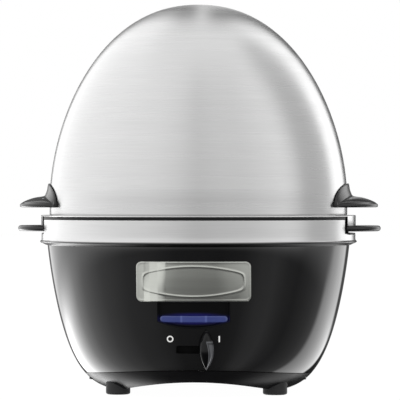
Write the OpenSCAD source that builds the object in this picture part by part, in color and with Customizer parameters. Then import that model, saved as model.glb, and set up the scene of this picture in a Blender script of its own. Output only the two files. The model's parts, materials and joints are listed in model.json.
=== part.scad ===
// Egg cooker: a bowl-shaped base with a heating plate, an egg tray that lifts out, and a tall steel lid.
// The origin is on the table under the middle of the base, +Z is up and the switch faces -Y.

/* [Base body] */
// Radius of the bowl at the top edge of the shell
body_r = 91.2; // [76:0.1:110]
// Height of the shell's top edge above the table
shell_top_z = 88; // [84:0.5:106]
// Wall of the shell
shell_wall = 2.6; // [2.1:0.1:3.2]
// Wall of the bottom cover
cover_wall = 2.4; // [2:0.1:3]
// Height of the cover's lowest face above the table
cover_lift = 2.2; // [1.8:0.1:2.7]
// Height of the seam between shell and cover at the sides
seam_side_z = 11.4; // [9.5:0.1:13.7]
// Height of the seam at the front and back
seam_front_z = 16.4; // [13.7:0.1:19]
// Height of the arch under the cover
arch_z = 9.2; // [7.7:0.1:11]
// Radius of that arch
arch_r = 160; // [133:1:192]
// Gap along the seam
seam_gap = 0.2; // [0.1:0.1:0.4]

/* [Feet] */
// Radius of a foot
foot_r = 7.2; // [6:0.1:8.6]
// Height of a foot, up to the floor of its socket
foot_h = 9; // [7.5:0.1:10.8]
// Distance of the feet in from the bowl's side edge, left and right
foot_inset = 44.8; // [41:0.1:52]
// Distance of the feet from the middle, front and back
foot_y = 35; // [29:0.1:40]

/* [Steel band and collar] */
// Step of the band out from the shell
band_step = 3.6; // [3:0.1:4.3]
// Sheet thickness of the band, the tray and the lid
sheet = 0.8; // [0.6:0.1:1]
// Height of the band
band_h = 13; // [12:0.1:15.6]
// Overhang of the band's flared lower lip
lip_out = 0.9; // [0.7:0.1:1.7]
// Height of the black collar's lip above the band
collar_lip_h = 1.6; // [1.3:0.1:1.9]
// Wall of the collar
collar_wall = 3.2; // [2.7:0.1:3.8]
// Half the angle of a notch for a tray handle
notch_half = 19.2; // [17:0.1:23]
// Clearance between a tray handle and the floor of its notch
notch_gap = 1.2; // [0.6:0.1:1.5]
// Thickness of the black lining in a notch
notch_lining = 0.8; // [0.6:0.1:1]
// How far the notches, tray and tray handles are turned towards the front
notch_turn = 3.4; // [0:0.1:5]

/* [Heating plate] */
// Distance of the water dish in from the bowl's edge
dish_inset = 15.2; // [14.2:0.1:18.2]
// Depth of the water dish
dish_depth = 14; // [11.7:0.1:16.8]
// Thickness of the plate
plate_t = 1; // [0.8:0.1:1.2]
// Height of the silicone seal
seal_h = 1.2; // [1:0.1:1.5]
// Distance of the heating ring in from the dish's wall
element_inset = 21; // [17.5:0.5:25]
// Radius of the heating tube
element_tube_r = 3.5; // [2.9:0.1:4.2]
// Distance of the plate studs in from the heating ring
stud_inset = 15; // [12.5:0.5:18]
// Radius of a plate stud
stud_r = 2; // [1.7:0.1:2.4]
// Radius of the thermostat's cup
thermostat_r = 8.5; // [7:0.1:10.2]

/* [Egg tray] */
// Number of egg holes in the outer ring
outer_eggs = 8; // [6:1:8]
// Radius of an egg hole
egg_hole_r = 17; // [14.2:0.1:19]
// Distance of the outer egg holes' middles in from the lid's wall
egg_inset = 24.9; // [23.3:0.1:28]
// Distance of the two inner egg holes from the middle
egg_inner_r = 22; // [20:0.1:23]
// Depth of the tray below its flange
tray_depth = 7.7; // [6.5:0.1:9.2]
// Height of the bead that centres the lid
bead_h = 2.5; // [2.1:0.1:3]
// Half the angle of a tray tab
tab_half = 16.4; // [13.7:0.1:17]
// Height of a tray tab below the flange
tab_h = 5.4; // [5:0.1:6.4]
// Thickness of a tray handle
tray_handle_t = 3.4; // [2.9:0.1:3.6]
// How far a tray handle stands out from the band
handle_out = 15.2; // [12.7:0.1:18.2]

/* [Lid] */
// Ledge between the lid's wall and the band's outer face
lid_ledge = 4.9; // [4.1:0.1:5.5]
// Height of the upright part of the lid's wall
lid_wall_h = 9.8; // [8:0.1:12]
// Height of the domed part above it
lid_dome_h = 117.2; // [98:0.1:141]
// Radius of a steam hole
steam_hole_r = 2; // [1.6:0.1:2.4]
// Height of a lid handle's underside above the tray flange
lid_handle_gap = 4.6; // [4:0.1:5.5]
// Half the width of a lid handle
lid_handle_half_w = 38; // [32:0.5:40]
// Height of a lid handle's back plate
lid_handle_h = 14.6; // [13:0.1:17.5]
// How far a lid handle stands out from the lid's wall
lid_handle_out = 18.5; // [15.6:0.1:22]
// How far the lid's handles are turned towards the front
lid_turn = 1.2; // [0:0.1:5]

/* [Front panel] */
// Width of the nameplate
nameplate_w = 66; // [55:0.5:72]
// Height of the nameplate
nameplate_h = 23.3; // [19.5:0.1:25]
// Distance of the nameplate's middle below the shell's top edge
nameplate_drop = 19.8; // [18:0.1:21.5]
// Thickness of the nameplate
nameplate_t = 1.2; // [1:0.1:1.5]
// Width of the indicator lens
lens_w = 39; // [32.5:0.1:40]
// Height of the indicator lens
lens_h = 4.1; // [3.4:0.1:4.9]
// Distance of the lens's middle below the nameplate's
lens_drop = 21.5; // [20.5:0.1:23]
// Depth of the recess around the lens
recess_depth = 2.2; // [1.8:0.1:2.6]

/* [Switch] */
// Distance of the switch slot's middle below the lens's
switch_drop = 17.8; // [17:0.1:19]
// Travel of the lever between off and on
switch_travel = 14.4; // [12:0.1:15]
// Width of the lever's stem
stem_w = 5.6; // [4.7:0.1:6.2]
// Height of the lever's stem
stem_h = 4; // [3.4:0.1:4.4]
// Clearance of the stem in its slot
slot_gap = 0.3; // [0.2:0.1:0.5]
// Half the height of the lever's fin
fin_half_h = 11.6; // [9.7:0.1:12]
// Width of the lever's fin
fin_w = 8.2; // [6.9:0.1:9]
// How far the fin stands out from the shell
fin_out = 8.5; // [7.1:0.1:10.2]

/* [Power cord inlet] */
// Radius of the gland's bore
cord_bore_r = 3.6; // [3:0.1:4.3]
// Height of the gland's middle above the table
gland_z = 34; // [32:0.1:36]

/* [Hidden] */
$fn = 96;

big = 400;               // larger than the object
fit_gap = 0.1;           // radial clearance of a hand fit
screw_gap = 0.2;         // radial clearance of a screw in a through hole

// Bowl: the radius follows the cosine to this power, the fall follows the sine to the other.
bowl_round = 0.29;
bowl_fall = 1.78;
bowl_depth = shell_top_z + 0.25;
function bowl_r_at(z) =
    body_r * pow(cos(asin(pow((shell_top_z - z) / bowl_depth, 1 / bowl_fall))), bowl_round);

// Radii and heights that follow the bowl.
band_r = body_r + band_step;
lid_r = band_r - lid_ledge;
foot_x = body_r - foot_inset;
dish_r = body_r - dish_inset;
element_ring_r = dish_r - element_inset;
stud_ring_r = element_ring_r - stud_inset;
egg_ring_r = lid_r - egg_inset;
handle_reach = band_r + handle_out;
lid_handle_reach = lid_r + lid_handle_out;
nameplate_z = shell_top_z - nameplate_drop;
lens_z = nameplate_z - lens_drop;
switch_z = lens_z - switch_drop;
shell_y = -bowl_r_at(switch_z);

// Heights of the band, collar and tray flange.
band_bottom = shell_top_z + 2.3;
band_top = band_bottom + band_h;
lip_bottom = shell_top_z - 0.2;
lip_r = band_r + lip_out;
band_in = band_r - sheet;
collar_top = band_top + collar_lip_h;
collar_out = band_in - fit_gap;
collar_in = collar_out - collar_wall;
collar_floor = shell_top_z + 3;
collar_ledge_t = 2.6;
collar_ledge_r = body_r - 6.7;
collar_skirt_r = body_r - shell_wall - 0.9;
collar_skirt_t = 1.5;
collar_skirt_h = 6;
flange_z = collar_top;
notch_z = flange_z - tab_h - tray_handle_t - notch_gap;
notch_open_half = notch_half - notch_lining * 0.7;
flange_top = flange_z + sheet;
flange_r = band_r + 0.2;

// Screw places.
collar_boss_r = 3.4;
collar_boss_ring = collar_ledge_r - 1.9;
collar_boss_z = shell_top_z - 8;
collar_screw_angles = [45, 135, 225, 315];
screw_r = 1.5;
cover_screw_x = foot_x + 13.4;
cover_screw_y = 16;
cover_boss_r = 3.8;
cover_boss_z = 12;

// Heating group.
plate_rim_z = collar_floor + seal_h;
plate_rim_r = collar_in - 0.6;
dish_floor_z = plate_rim_z + plate_t - dish_depth;
dish_under_z = dish_floor_z - plate_t;
element_z = dish_under_z - element_tube_r;
element_end = 12;        // half the angle left open at the ring's ends
clamp_z = element_z - element_tube_r;
clamp_t = 1.2;
shield_floor_z = clamp_z - clamp_t - 8;
shield_r = dish_r + 1;
shield_rim_z = collar_floor - collar_ledge_t - sheet;
stud_angles = [30, 150, 270];
nut_r = 4;
nut_h = 3;
thermostat_flange_r = thermostat_r + 3.5;
thermostat_h = 7.5;
bracket_screw_x = 17;
fuse_y = 26;
fuse_r = 2.2;

// Tray.
pan_floor_z = flange_top - tray_depth - sheet;
pan_r = lid_r - 1.4;
tab_bottom = flange_z - tab_h;
tab_in = flange_r - sheet;
tray_handle_z = tab_bottom - tray_handle_t;
tray_root_in = collar_in + 0.3;
tray_root_top = flange_z - 0.7;
tray_root_half = tab_half - 2.4;
tray_lug_half_w = flange_r * sin(tab_half);
tray_lug_x = flange_r * cos(tab_half);
tray_lug_out = handle_reach - tray_lug_x;
tray_lug_r = (pow(tray_lug_half_w, 2) + pow(tray_lug_out, 2)) / (2 * tray_lug_out);
rivet_r = 1.6;
rivet_angle = 8;
rivet_z = (tab_bottom + flange_z) / 2;

// Lid.
lid_foot_z = flange_top + 0.05;
lid_spring_z = lid_foot_z + lid_wall_h;
dome_round = 0.9116;     // the lid's radius follows the cosine to this power
dome_rise = 1.1179;      // and its height follows the sine to this one
lid_handle_z = lid_foot_z + lid_handle_gap;
lid_plate_in = lid_r + 0.05;
lid_plate_out = lid_r + 2.3;
wing_corner_x = sqrt(pow(lid_r, 2) - pow(lid_handle_half_w, 2));
wing_out = lid_handle_reach - wing_corner_x;
wing_r = (pow(lid_handle_half_w, 2) + pow(wing_out, 2)) / (2 * wing_out);
wing_root_h = 6.9;
wing_tip_h = 2.4;
lid_screw_z = lid_handle_z + 3.6;
lid_screw_angle = 14;
lid_screw_r = 2;
lid_backing_t = 1.2;

// Front panel and switch.
nameplate_pin_x = nameplate_w / 3;
nameplate_pin_r = 1.5;
nameplate_back_y = -bowl_r_at(nameplate_z) + 7.3;
bezel_half_w = lens_w / 2 + 1.3;
bezel_top = nameplate_z - nameplate_h / 2 - 0.3;
bezel_side_z = lens_z - 1.6;
bezel_low_z = lens_z - lens_h / 2 - 3.4;
bezel_back = 5;
board_y = -bowl_r_at(lens_z) + 10.5;
board_t = 1.6;
board_post_x = 18;
board_post_z = lens_z + 6.3;
slider_t = 1.6;
slider_y = shell_y + 10.5;
slider_half_w = switch_travel / 2 + stem_w / 2 + slot_gap + 7;
slider_half_h = 4.5;
lever_x = switch_travel / 2;
slot_half_w = switch_travel / 2 + stem_w / 2 + slot_gap;
bracket_y = slider_y + slider_t + 0.2;
bracket_t = 2;
bracket_ear_x = 31;
switch_half_w = 14;
switch_half_h = 6;
switch_back_y = bracket_y + 14;

// Cord inlet.
gland_y = bowl_r_at(gland_z) - 4.3;
gland_flange_r = cord_bore_r + 7.9;
gland_neck_r = cord_bore_r + 4.4;
clamp_y = gland_y - 14;
clamp_shelf_z = gland_z - 5;
wire_r = 1.1;

// Bowl surface moved in by inset, as points from its top edge down to its pole.
function bowl_points(inset) = [
    for (a = [0:3.5:84])
        [(body_r - inset) * pow(cos(a), bowl_round),
         shell_top_z - (bowl_depth - inset) * pow(sin(a), bowl_fall)]
];

// Lid surface moved in by inset, from its foot up to its crown.
function dome_points(inset) = concat(
    [[lid_r - inset, lid_foot_z]],
    [for (a = [0:3:87])
        [(lid_r - inset) * pow(cos(a), dome_round),
         lid_spring_z + (lid_dome_h - inset) * pow(sin(a), dome_rise)]],
    [[0, lid_spring_z + lid_dome_h - inset]]
);

// Outline of a rounded rectangle w by h with its middle at the origin.
module rounded_rect(w, h, r) {
    union() {
        square([w - 2 * r, h], center = true);
        square([w, h - 2 * r], center = true);
        for (x = [-1, 1], y = [-1, 1]) translate([x * (w / 2 - r), y * (h / 2 - r)]) circle(r = r);
    }
}

// A flat outline in X and Z, pushed through the front of the base from y0 to y1.
module front_prism(y0, y1) {
    translate([0, y1, 0]) rotate([90, 0, 0]) linear_extrude(y1 - y0) children();
}

module bowl_solid(inset) {
    rotate_extrude() polygon(concat([[0, shell_top_z]], bowl_points(inset), [[0, shell_top_z - bowl_depth + inset]]));
}

// The thin layer of the bowl's surface between two insets, with its top edge open.
module bowl_layer(outer, inner) {
    difference() {
        bowl_solid(outer);
        bowl_solid(inner);
    }
}

// Everything below the seam, moved down by drop.
module below_seam(drop) {
    rise = seam_front_z - seam_side_z;
    seam_x = body_r * 0.757;
    seam_r = (pow(seam_x, 2) + pow(rise, 2)) / (2 * rise);
    translate([0, big / 2, seam_front_z - drop - seam_r]) rotate([90, 0, 0]) cylinder(r = seam_r, h = big, $fn = 200);
}

// The room under the arch of the cover, moved up by lift.
module under_arch(lift) {
    translate([0, big / 2, arch_z + lift - arch_r]) rotate([90, 0, 0]) cylinder(r = arch_r, h = big, $fn = 200);
    translate([-big / 2, -big / 2, cover_lift + lift - big]) cube(big);
}

// A wedge of half-angle half about +X, from z0 up to z1.
module wedge(half, z0, z1) {
    reach = big / 2;
    translate([0, 0, z0]) linear_extrude(z1 - z0)
        polygon([[0, 0], [reach * cos(half), -reach * sin(half)], [reach * cos(half), reach * sin(half)]]);
}

// An upright ring wall.
module ring(outer, inner, z0, z1) {
    translate([0, 0, z0]) difference() {
        cylinder(r = outer, h = z1 - z0);
        translate([0, 0, -1]) cylinder(r = inner, h = z1 - z0 + 2);
    }
}

// Part of a ring wall, half wide to each side of +X.
module ring_part(outer, inner, z0, z1, half) {
    intersection() {
        ring(outer, inner, z0, z1);
        wedge(half, z0 - 1, z1 + 1);
    }
}

// Puts a piece at the left notch (side 1) or the right notch (side 0).
module at_notch(side) {
    rotate([0, 0, side * 180 - notch_turn]) children();
}

module at_lid_handle(side) {
    rotate([0, 0, side * 180 - lid_turn]) children();
}

// Screw with its head below z = 0 and its shank up to length.
module pan_screw(r, length, head_r, head_h) {
    difference() {
        union() {
            translate([0, 0, -head_h]) cylinder(r = head_r, h = head_h, $fn = 48);
            cylinder(r = r, h = length, $fn = 48);
        }
        translate([-head_r, -0.4, -head_h - 1]) cube([2 * head_r, 0.8, head_h * 0.45 + 1]);
    }
}

// Base body

module base_shell() {
    color([0.04, 0.04, 0.045]) difference() {
        union() {
            difference() {
                bowl_layer(0, shell_wall);
                below_seam(0);
            }
            intersection() {
                bowl_solid(shell_wall / 2);
                shell_bosses();
            }
            gland_boss();
        }
        shell_holes();
    }
}

module shell_bosses() {
    for (a = collar_screw_angles) rotate([0, 0, a]) {
        translate([collar_boss_ring, 0, collar_boss_z - 12]) cylinder(r = collar_boss_r, h = 12);
        translate([collar_boss_ring, -1.2, collar_boss_z - 12]) cube([12, 2.4, 12]);
    }
    for (x = [-1, 1], y = [-1, 1]) {
        translate([x * cover_screw_x, y * cover_screw_y, cover_boss_z]) cylinder(r = cover_boss_r, h = 20);
        translate([x * (cover_screw_x + 10) - 10, y * cover_screw_y - 1.2, seam_front_z + 0.4])
            cube([20, 2.4, cover_boss_z + 20 - seam_front_z - 0.4]);
    }
    for (x = [-1, 1]) translate([x * bracket_ear_x, bracket_y, switch_z]) rotate([90, 0, 0])
        cylinder(r = 3.6, h = 20);
    translate([-14, clamp_y - 4, clamp_shelf_z - 3]) cube([28, 30, 3]);
}

// Thick ring behind the flat that the cord gland sits on.
module gland_boss() {
    intersection() {
        translate([0, gland_y - 4, gland_z]) rotate([-90, 0, 0]) cylinder(r = gland_flange_r + 2.4, h = 4);
        bowl_solid(-4.5);
    }
}

module shell_holes() {
    for (a = collar_screw_angles) rotate([0, 0, a])
        translate([collar_boss_ring, 0, collar_boss_z - 13]) cylinder(r = screw_r + screw_gap, h = 14);
    for (x = [-1, 1], y = [-1, 1]) translate([x * cover_screw_x, y * cover_screw_y, cover_boss_z - 1])
        cylinder(r = screw_r, h = 15);
    for (x = [-1, 1]) translate([x * bracket_ear_x, bracket_y + 1, switch_z]) rotate([90, 0, 0])
        cylinder(r = screw_r, h = 6);
    for (x = [-1, 1]) translate([x * 9, clamp_y, clamp_shelf_z - 4]) cylinder(r = screw_r, h = 5);
    for (x = [-1, 1]) translate([x * nameplate_pin_x, nameplate_back_y + 10, nameplate_z]) rotate([90, 0, 0])
        cylinder(r = nameplate_pin_r + fit_gap, h = 30);
    front_prism(-body_r - 5, -body_r + 20) bezel_outline(fit_gap);
    front_prism(-body_r - 5, -body_r / 2) translate([0, switch_z])
        square([2 * slot_half_w, stem_h + 2 * slot_gap], center = true);
    translate([0, gland_y - 10, gland_z]) rotate([-90, 0, 0]) cylinder(r = gland_neck_r + fit_gap, h = 40);
    translate([0, gland_y, gland_z]) rotate([-90, 0, 0]) cylinder(r = gland_flange_r + 0.6, h = 20);
    translate([0, gland_y - 14, gland_z]) rotate([-90, 0, 0]) cylinder(r = gland_neck_r + 1.7, h = 10);
}

module bottom_cover() {
    color([0.07, 0.07, 0.07]) difference() {
        union() {
            difference() {
                intersection() {
                    bowl_solid(0);
                    below_seam(seam_gap);
                }
                under_arch(0);
                difference() {
                    bowl_solid(cover_wall);
                    under_arch(cover_wall);
                }
            }
            intersection() {
                union() {
                    for (x = [-1, 1], y = [-1, 1])
                        translate([x * foot_x, y * foot_y, 0]) cylinder(r = foot_r + 1.8, h = foot_h + 2);
                    for (x = [-1, 1], y = [-1, 1]) translate([x * cover_screw_x, y * cover_screw_y, 0])
                        cylinder(r = cover_boss_r + 1.4, h = cover_boss_z);
                    for (x = [-1, 1]) translate([x * 8, 46, 0]) cylinder(r = 3, h = 14);
                }
                difference() {
                    bowl_solid(cover_wall / 2);
                    under_arch(cover_wall / 2);
                }
            }
        }
        for (x = [-1, 1], y = [-1, 1]) {
            translate([x * foot_x, y * foot_y, -1]) cylinder(r = foot_r, h = foot_h + 1);
            translate([x * cover_screw_x, y * cover_screw_y, -1]) cylinder(r = screw_r + screw_gap, h = 20);
            translate([x * cover_screw_x, y * cover_screw_y, -1]) cylinder(r = 3.4, h = cover_boss_z - 1);
        }
        for (i = [-4:4]) translate([i * 6, 0, 0]) linear_extrude(30) rounded_rect(2.4, 36, 1.1);
    }
}

module rubber_feet() {
    color([0.05, 0.05, 0.05]) for (x = [-1, 1], y = [-1, 1]) translate([x * foot_x, y * foot_y, 0])
        rotate_extrude() polygon([
            [0, 0.8], [foot_r * 0.45, 0.8], [foot_r * 0.5, 0], [foot_r - 1, 0],
            [foot_r - 0.3, 0.3], [foot_r, 1], [foot_r, foot_h], [0, foot_h]
        ]);
}

module cover_screws() {
    color("silver") for (x = [-1, 1], y = [-1, 1])
        translate([x * cover_screw_x, y * cover_screw_y, cover_boss_z - 2]) pan_screw(screw_r, 14, 3, 1.6);
}

// Steel band and black collar

module rim_band() {
    color([0.78, 0.78, 0.77]) difference() {
        rotate_extrude() polygon([
            [band_in, band_bottom], [band_in, band_top], [band_r, band_top], [band_r, band_bottom + 0.3],
            [lip_r, band_bottom], [lip_r, band_bottom - 0.8], [body_r + 1, lip_bottom],
            [body_r + 0.4, lip_bottom], [band_in, band_bottom - 1]
        ]);
        for (side = [0, 1]) at_notch(side) wedge(notch_half, notch_z - notch_lining, band_top + 1);
    }
}

module rim_collar() {
    color([0.06, 0.06, 0.06]) difference() {
        union() {
            rotate_extrude() polygon([
                [collar_in, collar_top], [band_r, collar_top], [band_r, band_top], [collar_out, band_top],
                [collar_out, band_bottom + 0.2], [body_r, band_bottom + 0.2], [body_r, shell_top_z],
                [collar_skirt_r, shell_top_z], [collar_skirt_r, shell_top_z - collar_skirt_h],
                [collar_skirt_r - collar_skirt_t, shell_top_z - collar_skirt_h],
                [collar_skirt_r - collar_skirt_t, collar_floor - collar_ledge_t],
                [collar_ledge_r, collar_floor - collar_ledge_t], [collar_ledge_r, collar_floor],
                [collar_in, collar_floor]
            ]);
            for (side = [0, 1]) at_notch(side)
                ring_part(band_r - 0.05, collar_in + 0.5, notch_z - notch_lining, collar_top - 0.5, notch_half);
            for (a = collar_screw_angles) rotate([0, 0, a]) translate([collar_boss_ring, 0, collar_boss_z])
                cylinder(r = collar_boss_r, h = collar_floor - collar_boss_z);
        }
        for (side = [0, 1]) at_notch(side) ring_part(band_r + 5, body_r - 5, notch_z, collar_top + 5, notch_open_half);
        for (a = collar_screw_angles) rotate([0, 0, a]) translate([collar_boss_ring, 0, collar_boss_z - 1])
            cylinder(r = screw_r, h = 8);
    }
}

module collar_screws() {
    color("silver") for (a = collar_screw_angles) rotate([0, 0, a])
        translate([collar_boss_ring, 0, collar_boss_z - 12]) pan_screw(screw_r, 18, 2.9, 2);
}

// Heating group

module heating_plate() {
    color([0.72, 0.72, 0.7]) rotate_extrude() polygon([
        [0, dish_under_z], [dish_r - 4, dish_under_z], [dish_r - 1.5, dish_under_z + 1.5],
        [dish_r, plate_rim_z], [plate_rim_r, plate_rim_z], [plate_rim_r, plate_rim_z + plate_t],
        [dish_r - plate_t, plate_rim_z + plate_t], [dish_r - 1.5 - plate_t, dish_floor_z + 1.5],
        [dish_r - 4 - plate_t, dish_floor_z], [thermostat_r + 4, dish_floor_z],
        [thermostat_r + 2, dish_floor_z + 0.6], [0, dish_floor_z + 0.6]
    ]);
}

module plate_seal() {
    color([0.55, 0.2, 0.15]) ring(plate_rim_r - 0.6, plate_rim_r - 3.2, collar_floor, plate_rim_z);
}

module plate_studs() {
    color("silver") for (a = stud_angles) rotate([0, 0, a])
        translate([stud_ring_r, 0, shield_floor_z - sheet - nut_h - 1.6])
            cylinder(r = stud_r, h = dish_under_z - shield_floor_z + sheet + nut_h + 1.6, $fn = 48);
}

module stud_nuts() {
    color("gainsboro") for (a = stud_angles, z = [clamp_z - clamp_t - nut_h, shield_floor_z - sheet - nut_h])
        rotate([0, 0, a]) translate([stud_ring_r, 0, z]) difference() {
            cylinder(r = nut_r, h = nut_h, $fn = 6);
            translate([0, 0, -1]) cylinder(r = stud_r, h = nut_h + 2, $fn = 48);
        }
}

module heating_element() {
    color([0.35, 0.33, 0.31]) {
        difference() {
            translate([0, 0, element_z]) rotate_extrude()
                translate([element_ring_r, 0]) circle(r = element_tube_r, $fn = 48);
            rotate([0, 0, 90]) wedge(element_end, element_z - 10, element_z + 10);
        }
        for (s = [-1, 1]) rotate([0, 0, 90 + s * element_end]) translate([element_ring_r, 0, 0]) {
            translate([0, 0, element_z]) sphere(r = element_tube_r + 0.2, $fn = 48);
            translate([0, 0, shield_floor_z - 5]) cylinder(r = element_tube_r, h = element_z - shield_floor_z + 5);
            translate([0, 0, shield_floor_z - 13]) cylinder(r = 1.2, h = 8, $fn = 32);
        }
    }
}

module element_bushings() {
    color("ivory") for (s = [-1, 1]) rotate([0, 0, 90 + s * element_end]) translate([element_ring_r, 0, 0])
        difference() {
            union() {
                translate([0, 0, shield_floor_z - sheet - 3]) cylinder(r = element_tube_r + 1.6, h = 6);
                translate([0, 0, shield_floor_z]) cylinder(r = element_tube_r + 2.6, h = 1.6);
            }
            translate([0, 0, shield_floor_z - 10]) cylinder(r = element_tube_r, h = 20);
        }
}

module element_clamp() {
    color([0.6, 0.6, 0.58]) translate([0, 0, clamp_z - clamp_t]) linear_extrude(clamp_t) difference() {
        union() {
            circle(r = stud_ring_r - 10);
            for (a = stud_angles) rotate(a) translate([0, -7]) square([element_ring_r + 5, 14]);
        }
        circle(r = thermostat_flange_r + 0.5);
        for (a = stud_angles) rotate(a) translate([stud_ring_r, 0]) circle(r = stud_r + screw_gap);
        for (x = [-1, 1]) translate([x * bracket_screw_x, 0]) circle(r = screw_r);
    }
}

module heat_shield() {
    color([0.66, 0.66, 0.66]) difference() {
        rotate_extrude() polygon([
            [thermostat_flange_r + 8, shield_floor_z - sheet], [shield_r, shield_floor_z - sheet],
            [shield_r, shield_rim_z], [collar_skirt_r - collar_skirt_t - 0.4, shield_rim_z],
            [collar_skirt_r - collar_skirt_t - 0.4, shield_rim_z + sheet], [shield_r - sheet, shield_rim_z + sheet],
            [shield_r - sheet, shield_floor_z], [thermostat_flange_r + 8, shield_floor_z]
        ]);
        for (a = collar_screw_angles) rotate([0, 0, a]) translate([collar_boss_ring, 0, shield_floor_z - 5])
            cylinder(r = collar_boss_r + 0.5, h = 60);
        for (a = stud_angles) rotate([0, 0, a]) translate([stud_ring_r, 0, shield_floor_z - 5])
            cylinder(r = stud_r + screw_gap, h = 10);
        for (s = [-1, 1]) rotate([0, 0, 90 + s * element_end]) translate([element_ring_r, 0, shield_floor_z - 5])
            cylinder(r = element_tube_r + 1.6, h = 10);
    }
}

module thermostat() {
    color([0.3, 0.28, 0.25]) translate([0, 0, dish_under_z - thermostat_h]) {
        cylinder(r = thermostat_r, h = thermostat_h);
        translate([0, 0, -1.5]) cylinder(r = thermostat_flange_r, h = 1.5);
        for (x = [-4, 4]) translate([x - 2, -0.4, -8]) cube([4, 0.8, 7]);
    }
}

module thermostat_bracket() {
    z = dish_under_z - thermostat_h - 1.5 - clamp_t;
    color([0.62, 0.62, 0.6]) difference() {
        union() {
            translate([-bracket_screw_x - 4, -6, z]) cube([2 * bracket_screw_x + 8, 12, clamp_t]);
            for (x = [-1, 1]) translate([x * bracket_screw_x, 0, z])
                cylinder(r = 4, h = clamp_z - clamp_t - z);
        }
        translate([0, 0, z - 1]) cylinder(r = 7, h = 4);
        for (x = [-1, 1]) translate([x * bracket_screw_x, 0, z - 1]) cylinder(r = screw_r + screw_gap, h = 20);
    }
}

module thermostat_screws() {
    color("silver") for (x = [-1, 1])
        translate([x * bracket_screw_x, 0, dish_under_z - thermostat_h - 1.5 - clamp_t])
            pan_screw(screw_r, clamp_z - dish_under_z + thermostat_h + 2, 2.9, 2);
}

module thermal_fuse() {
    color([0.85, 0.82, 0.72]) translate([0, fuse_y, clamp_z - clamp_t - fuse_r]) rotate([0, 90, 0]) {
        translate([0, 0, -7]) cylinder(r = fuse_r, h = 14, $fn = 48);
        translate([0, 0, -15]) cylinder(r = 0.5, h = 30, $fn = 24);
    }
}

module fuse_clip() {
    z = clamp_z - clamp_t - 2 * fuse_r;
    color([0.7, 0.7, 0.68]) translate([-4, fuse_y, 0]) difference() {
        translate([0, -fuse_r - 0.8, z - 0.8]) cube([8, 2 * fuse_r + 1.6, 2 * fuse_r + 0.8]);
        translate([-1, 0, z + fuse_r]) rotate([0, 90, 0]) cylinder(r = fuse_r, h = 10, $fn = 48);
        translate([-1, -fuse_r, z + fuse_r]) cube([10, 2 * fuse_r, 10]);
    }
}

// Front panel

module nameplate() {
    color([0.7, 0.7, 0.68]) {
        intersection() {
            bowl_layer(-nameplate_t, -0.05);
            front_prism(-body_r - 5, -body_r / 2)
                translate([0, nameplate_z]) rounded_rect(nameplate_w, nameplate_h, 2.2);
        }
        intersection() {
            bowl_layer(-nameplate_t - 0.5, -nameplate_t);
            front_prism(-body_r - 5, -body_r / 2) translate([0, nameplate_z]) difference() {
                barrel_outline(nameplate_w / 2 - 3.5, nameplate_h / 2 - 2.7);
                barrel_outline(nameplate_w / 2 - 4.7, nameplate_h / 2 - 3.8);
            }
        }
        intersection() {
            bowl_solid(-nameplate_t / 2);
            for (x = [-1, 1]) translate([x * nameplate_pin_x, nameplate_back_y - 0.5, nameplate_z]) rotate([90, 0, 0])
                cylinder(r = nameplate_pin_r, h = 20);
        }
    }
}

// A barrel: its long sides bow out from the ends to the middle.
module barrel_outline(half_w, half_h) {
    end_share = 0.52;
    polygon(concat(
        [for (t = [-1:0.125:1]) [half_w * t, half_h * (1 - (1 - end_share) * t * t)]],
        [for (t = [1:-0.125:-1]) [half_w * t, -half_h * (1 - (1 - end_share) * t * t)]]
    ));
}

module nameplate_nuts() {
    color("silver") for (x = [-1, 1])
        translate([x * nameplate_pin_x, nameplate_back_y, nameplate_z]) rotate([90, 0, 0]) difference() {
            cylinder(r = 3, h = 0.8);
            translate([0, 0, -1]) cylinder(r = nameplate_pin_r, h = 3);
        }
}

// Recess outline: upright sides under the nameplate and a bowed lower edge, grown by grow.
module bezel_outline(grow) {
    half_w = bezel_half_w + grow;
    polygon(concat(
        [[-half_w, bezel_top + grow], [half_w, bezel_top + grow]],
        [for (t = [1:-0.125:-1]) [half_w * t, bezel_low_z - grow + (bezel_side_z - bezel_low_z) * t * t]]
    ));
}

module indicator_bezel() {
    color([0.02, 0.02, 0.03]) difference() {
        union() {
            intersection() {
                bowl_layer(0.3, bezel_back);
                front_prism(-body_r - 5, -body_r / 2) bezel_outline(0);
            }
            intersection() {
                bowl_solid(bezel_back - 1);
                for (x = [-1, 1]) translate([x * board_post_x, board_y, board_post_z]) rotate([90, 0, 0])
                    cylinder(r = 2.4, h = 20);
            }
        }
        difference() {
            front_prism(-body_r - 5, -body_r / 2) bezel_outline(-1);
            bowl_solid(recess_depth);
        }
        lens_prism(fit_gap);
        for (x = [-1, 1]) translate([x * board_post_x, board_y + 1, board_post_z]) rotate([90, 0, 0])
            cylinder(r = 1, h = 6);
    }
}

module lens_prism(grow) {
    front_prism(-body_r - 5, -body_r / 2) translate([0, lens_z])
        rounded_rect(lens_w + 2 * grow, lens_h + 2 * grow, lens_h / 2 + grow - 0.01);
}

module indicator_lens() {
    color([0.25, 0.28, 0.62]) intersection() {
        bowl_layer(recess_depth - 1.2, bezel_back + 1);
        lens_prism(0);
    }
}

module indicator_leds() {
    color([0.8, 0.85, 1]) for (x = [-12.5, 0, 12.5]) translate([x, board_y, lens_z]) rotate([90, 0, 0]) {
        cylinder(r = 1.5, h = 1.6);
        translate([0, 0, 1.6]) sphere(r = 1.5);
    }
}

module control_board() {
    color([0.1, 0.35, 0.18]) difference() {
        translate([-22, board_y, lens_z - 7]) cube([44, board_t, 18]);
        for (x = [-1, 1]) translate([x * board_post_x, board_y + 5, board_post_z]) rotate([90, 0, 0])
            cylinder(r = 1 + screw_gap, h = 10);
    }
}

module board_screws() {
    color("silver") for (x = [-1, 1]) translate([x * board_post_x, board_y + board_t, board_post_z])
        rotate([90, 0, 0]) pan_screw(1, 6, 2, 1.2);
}

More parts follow.
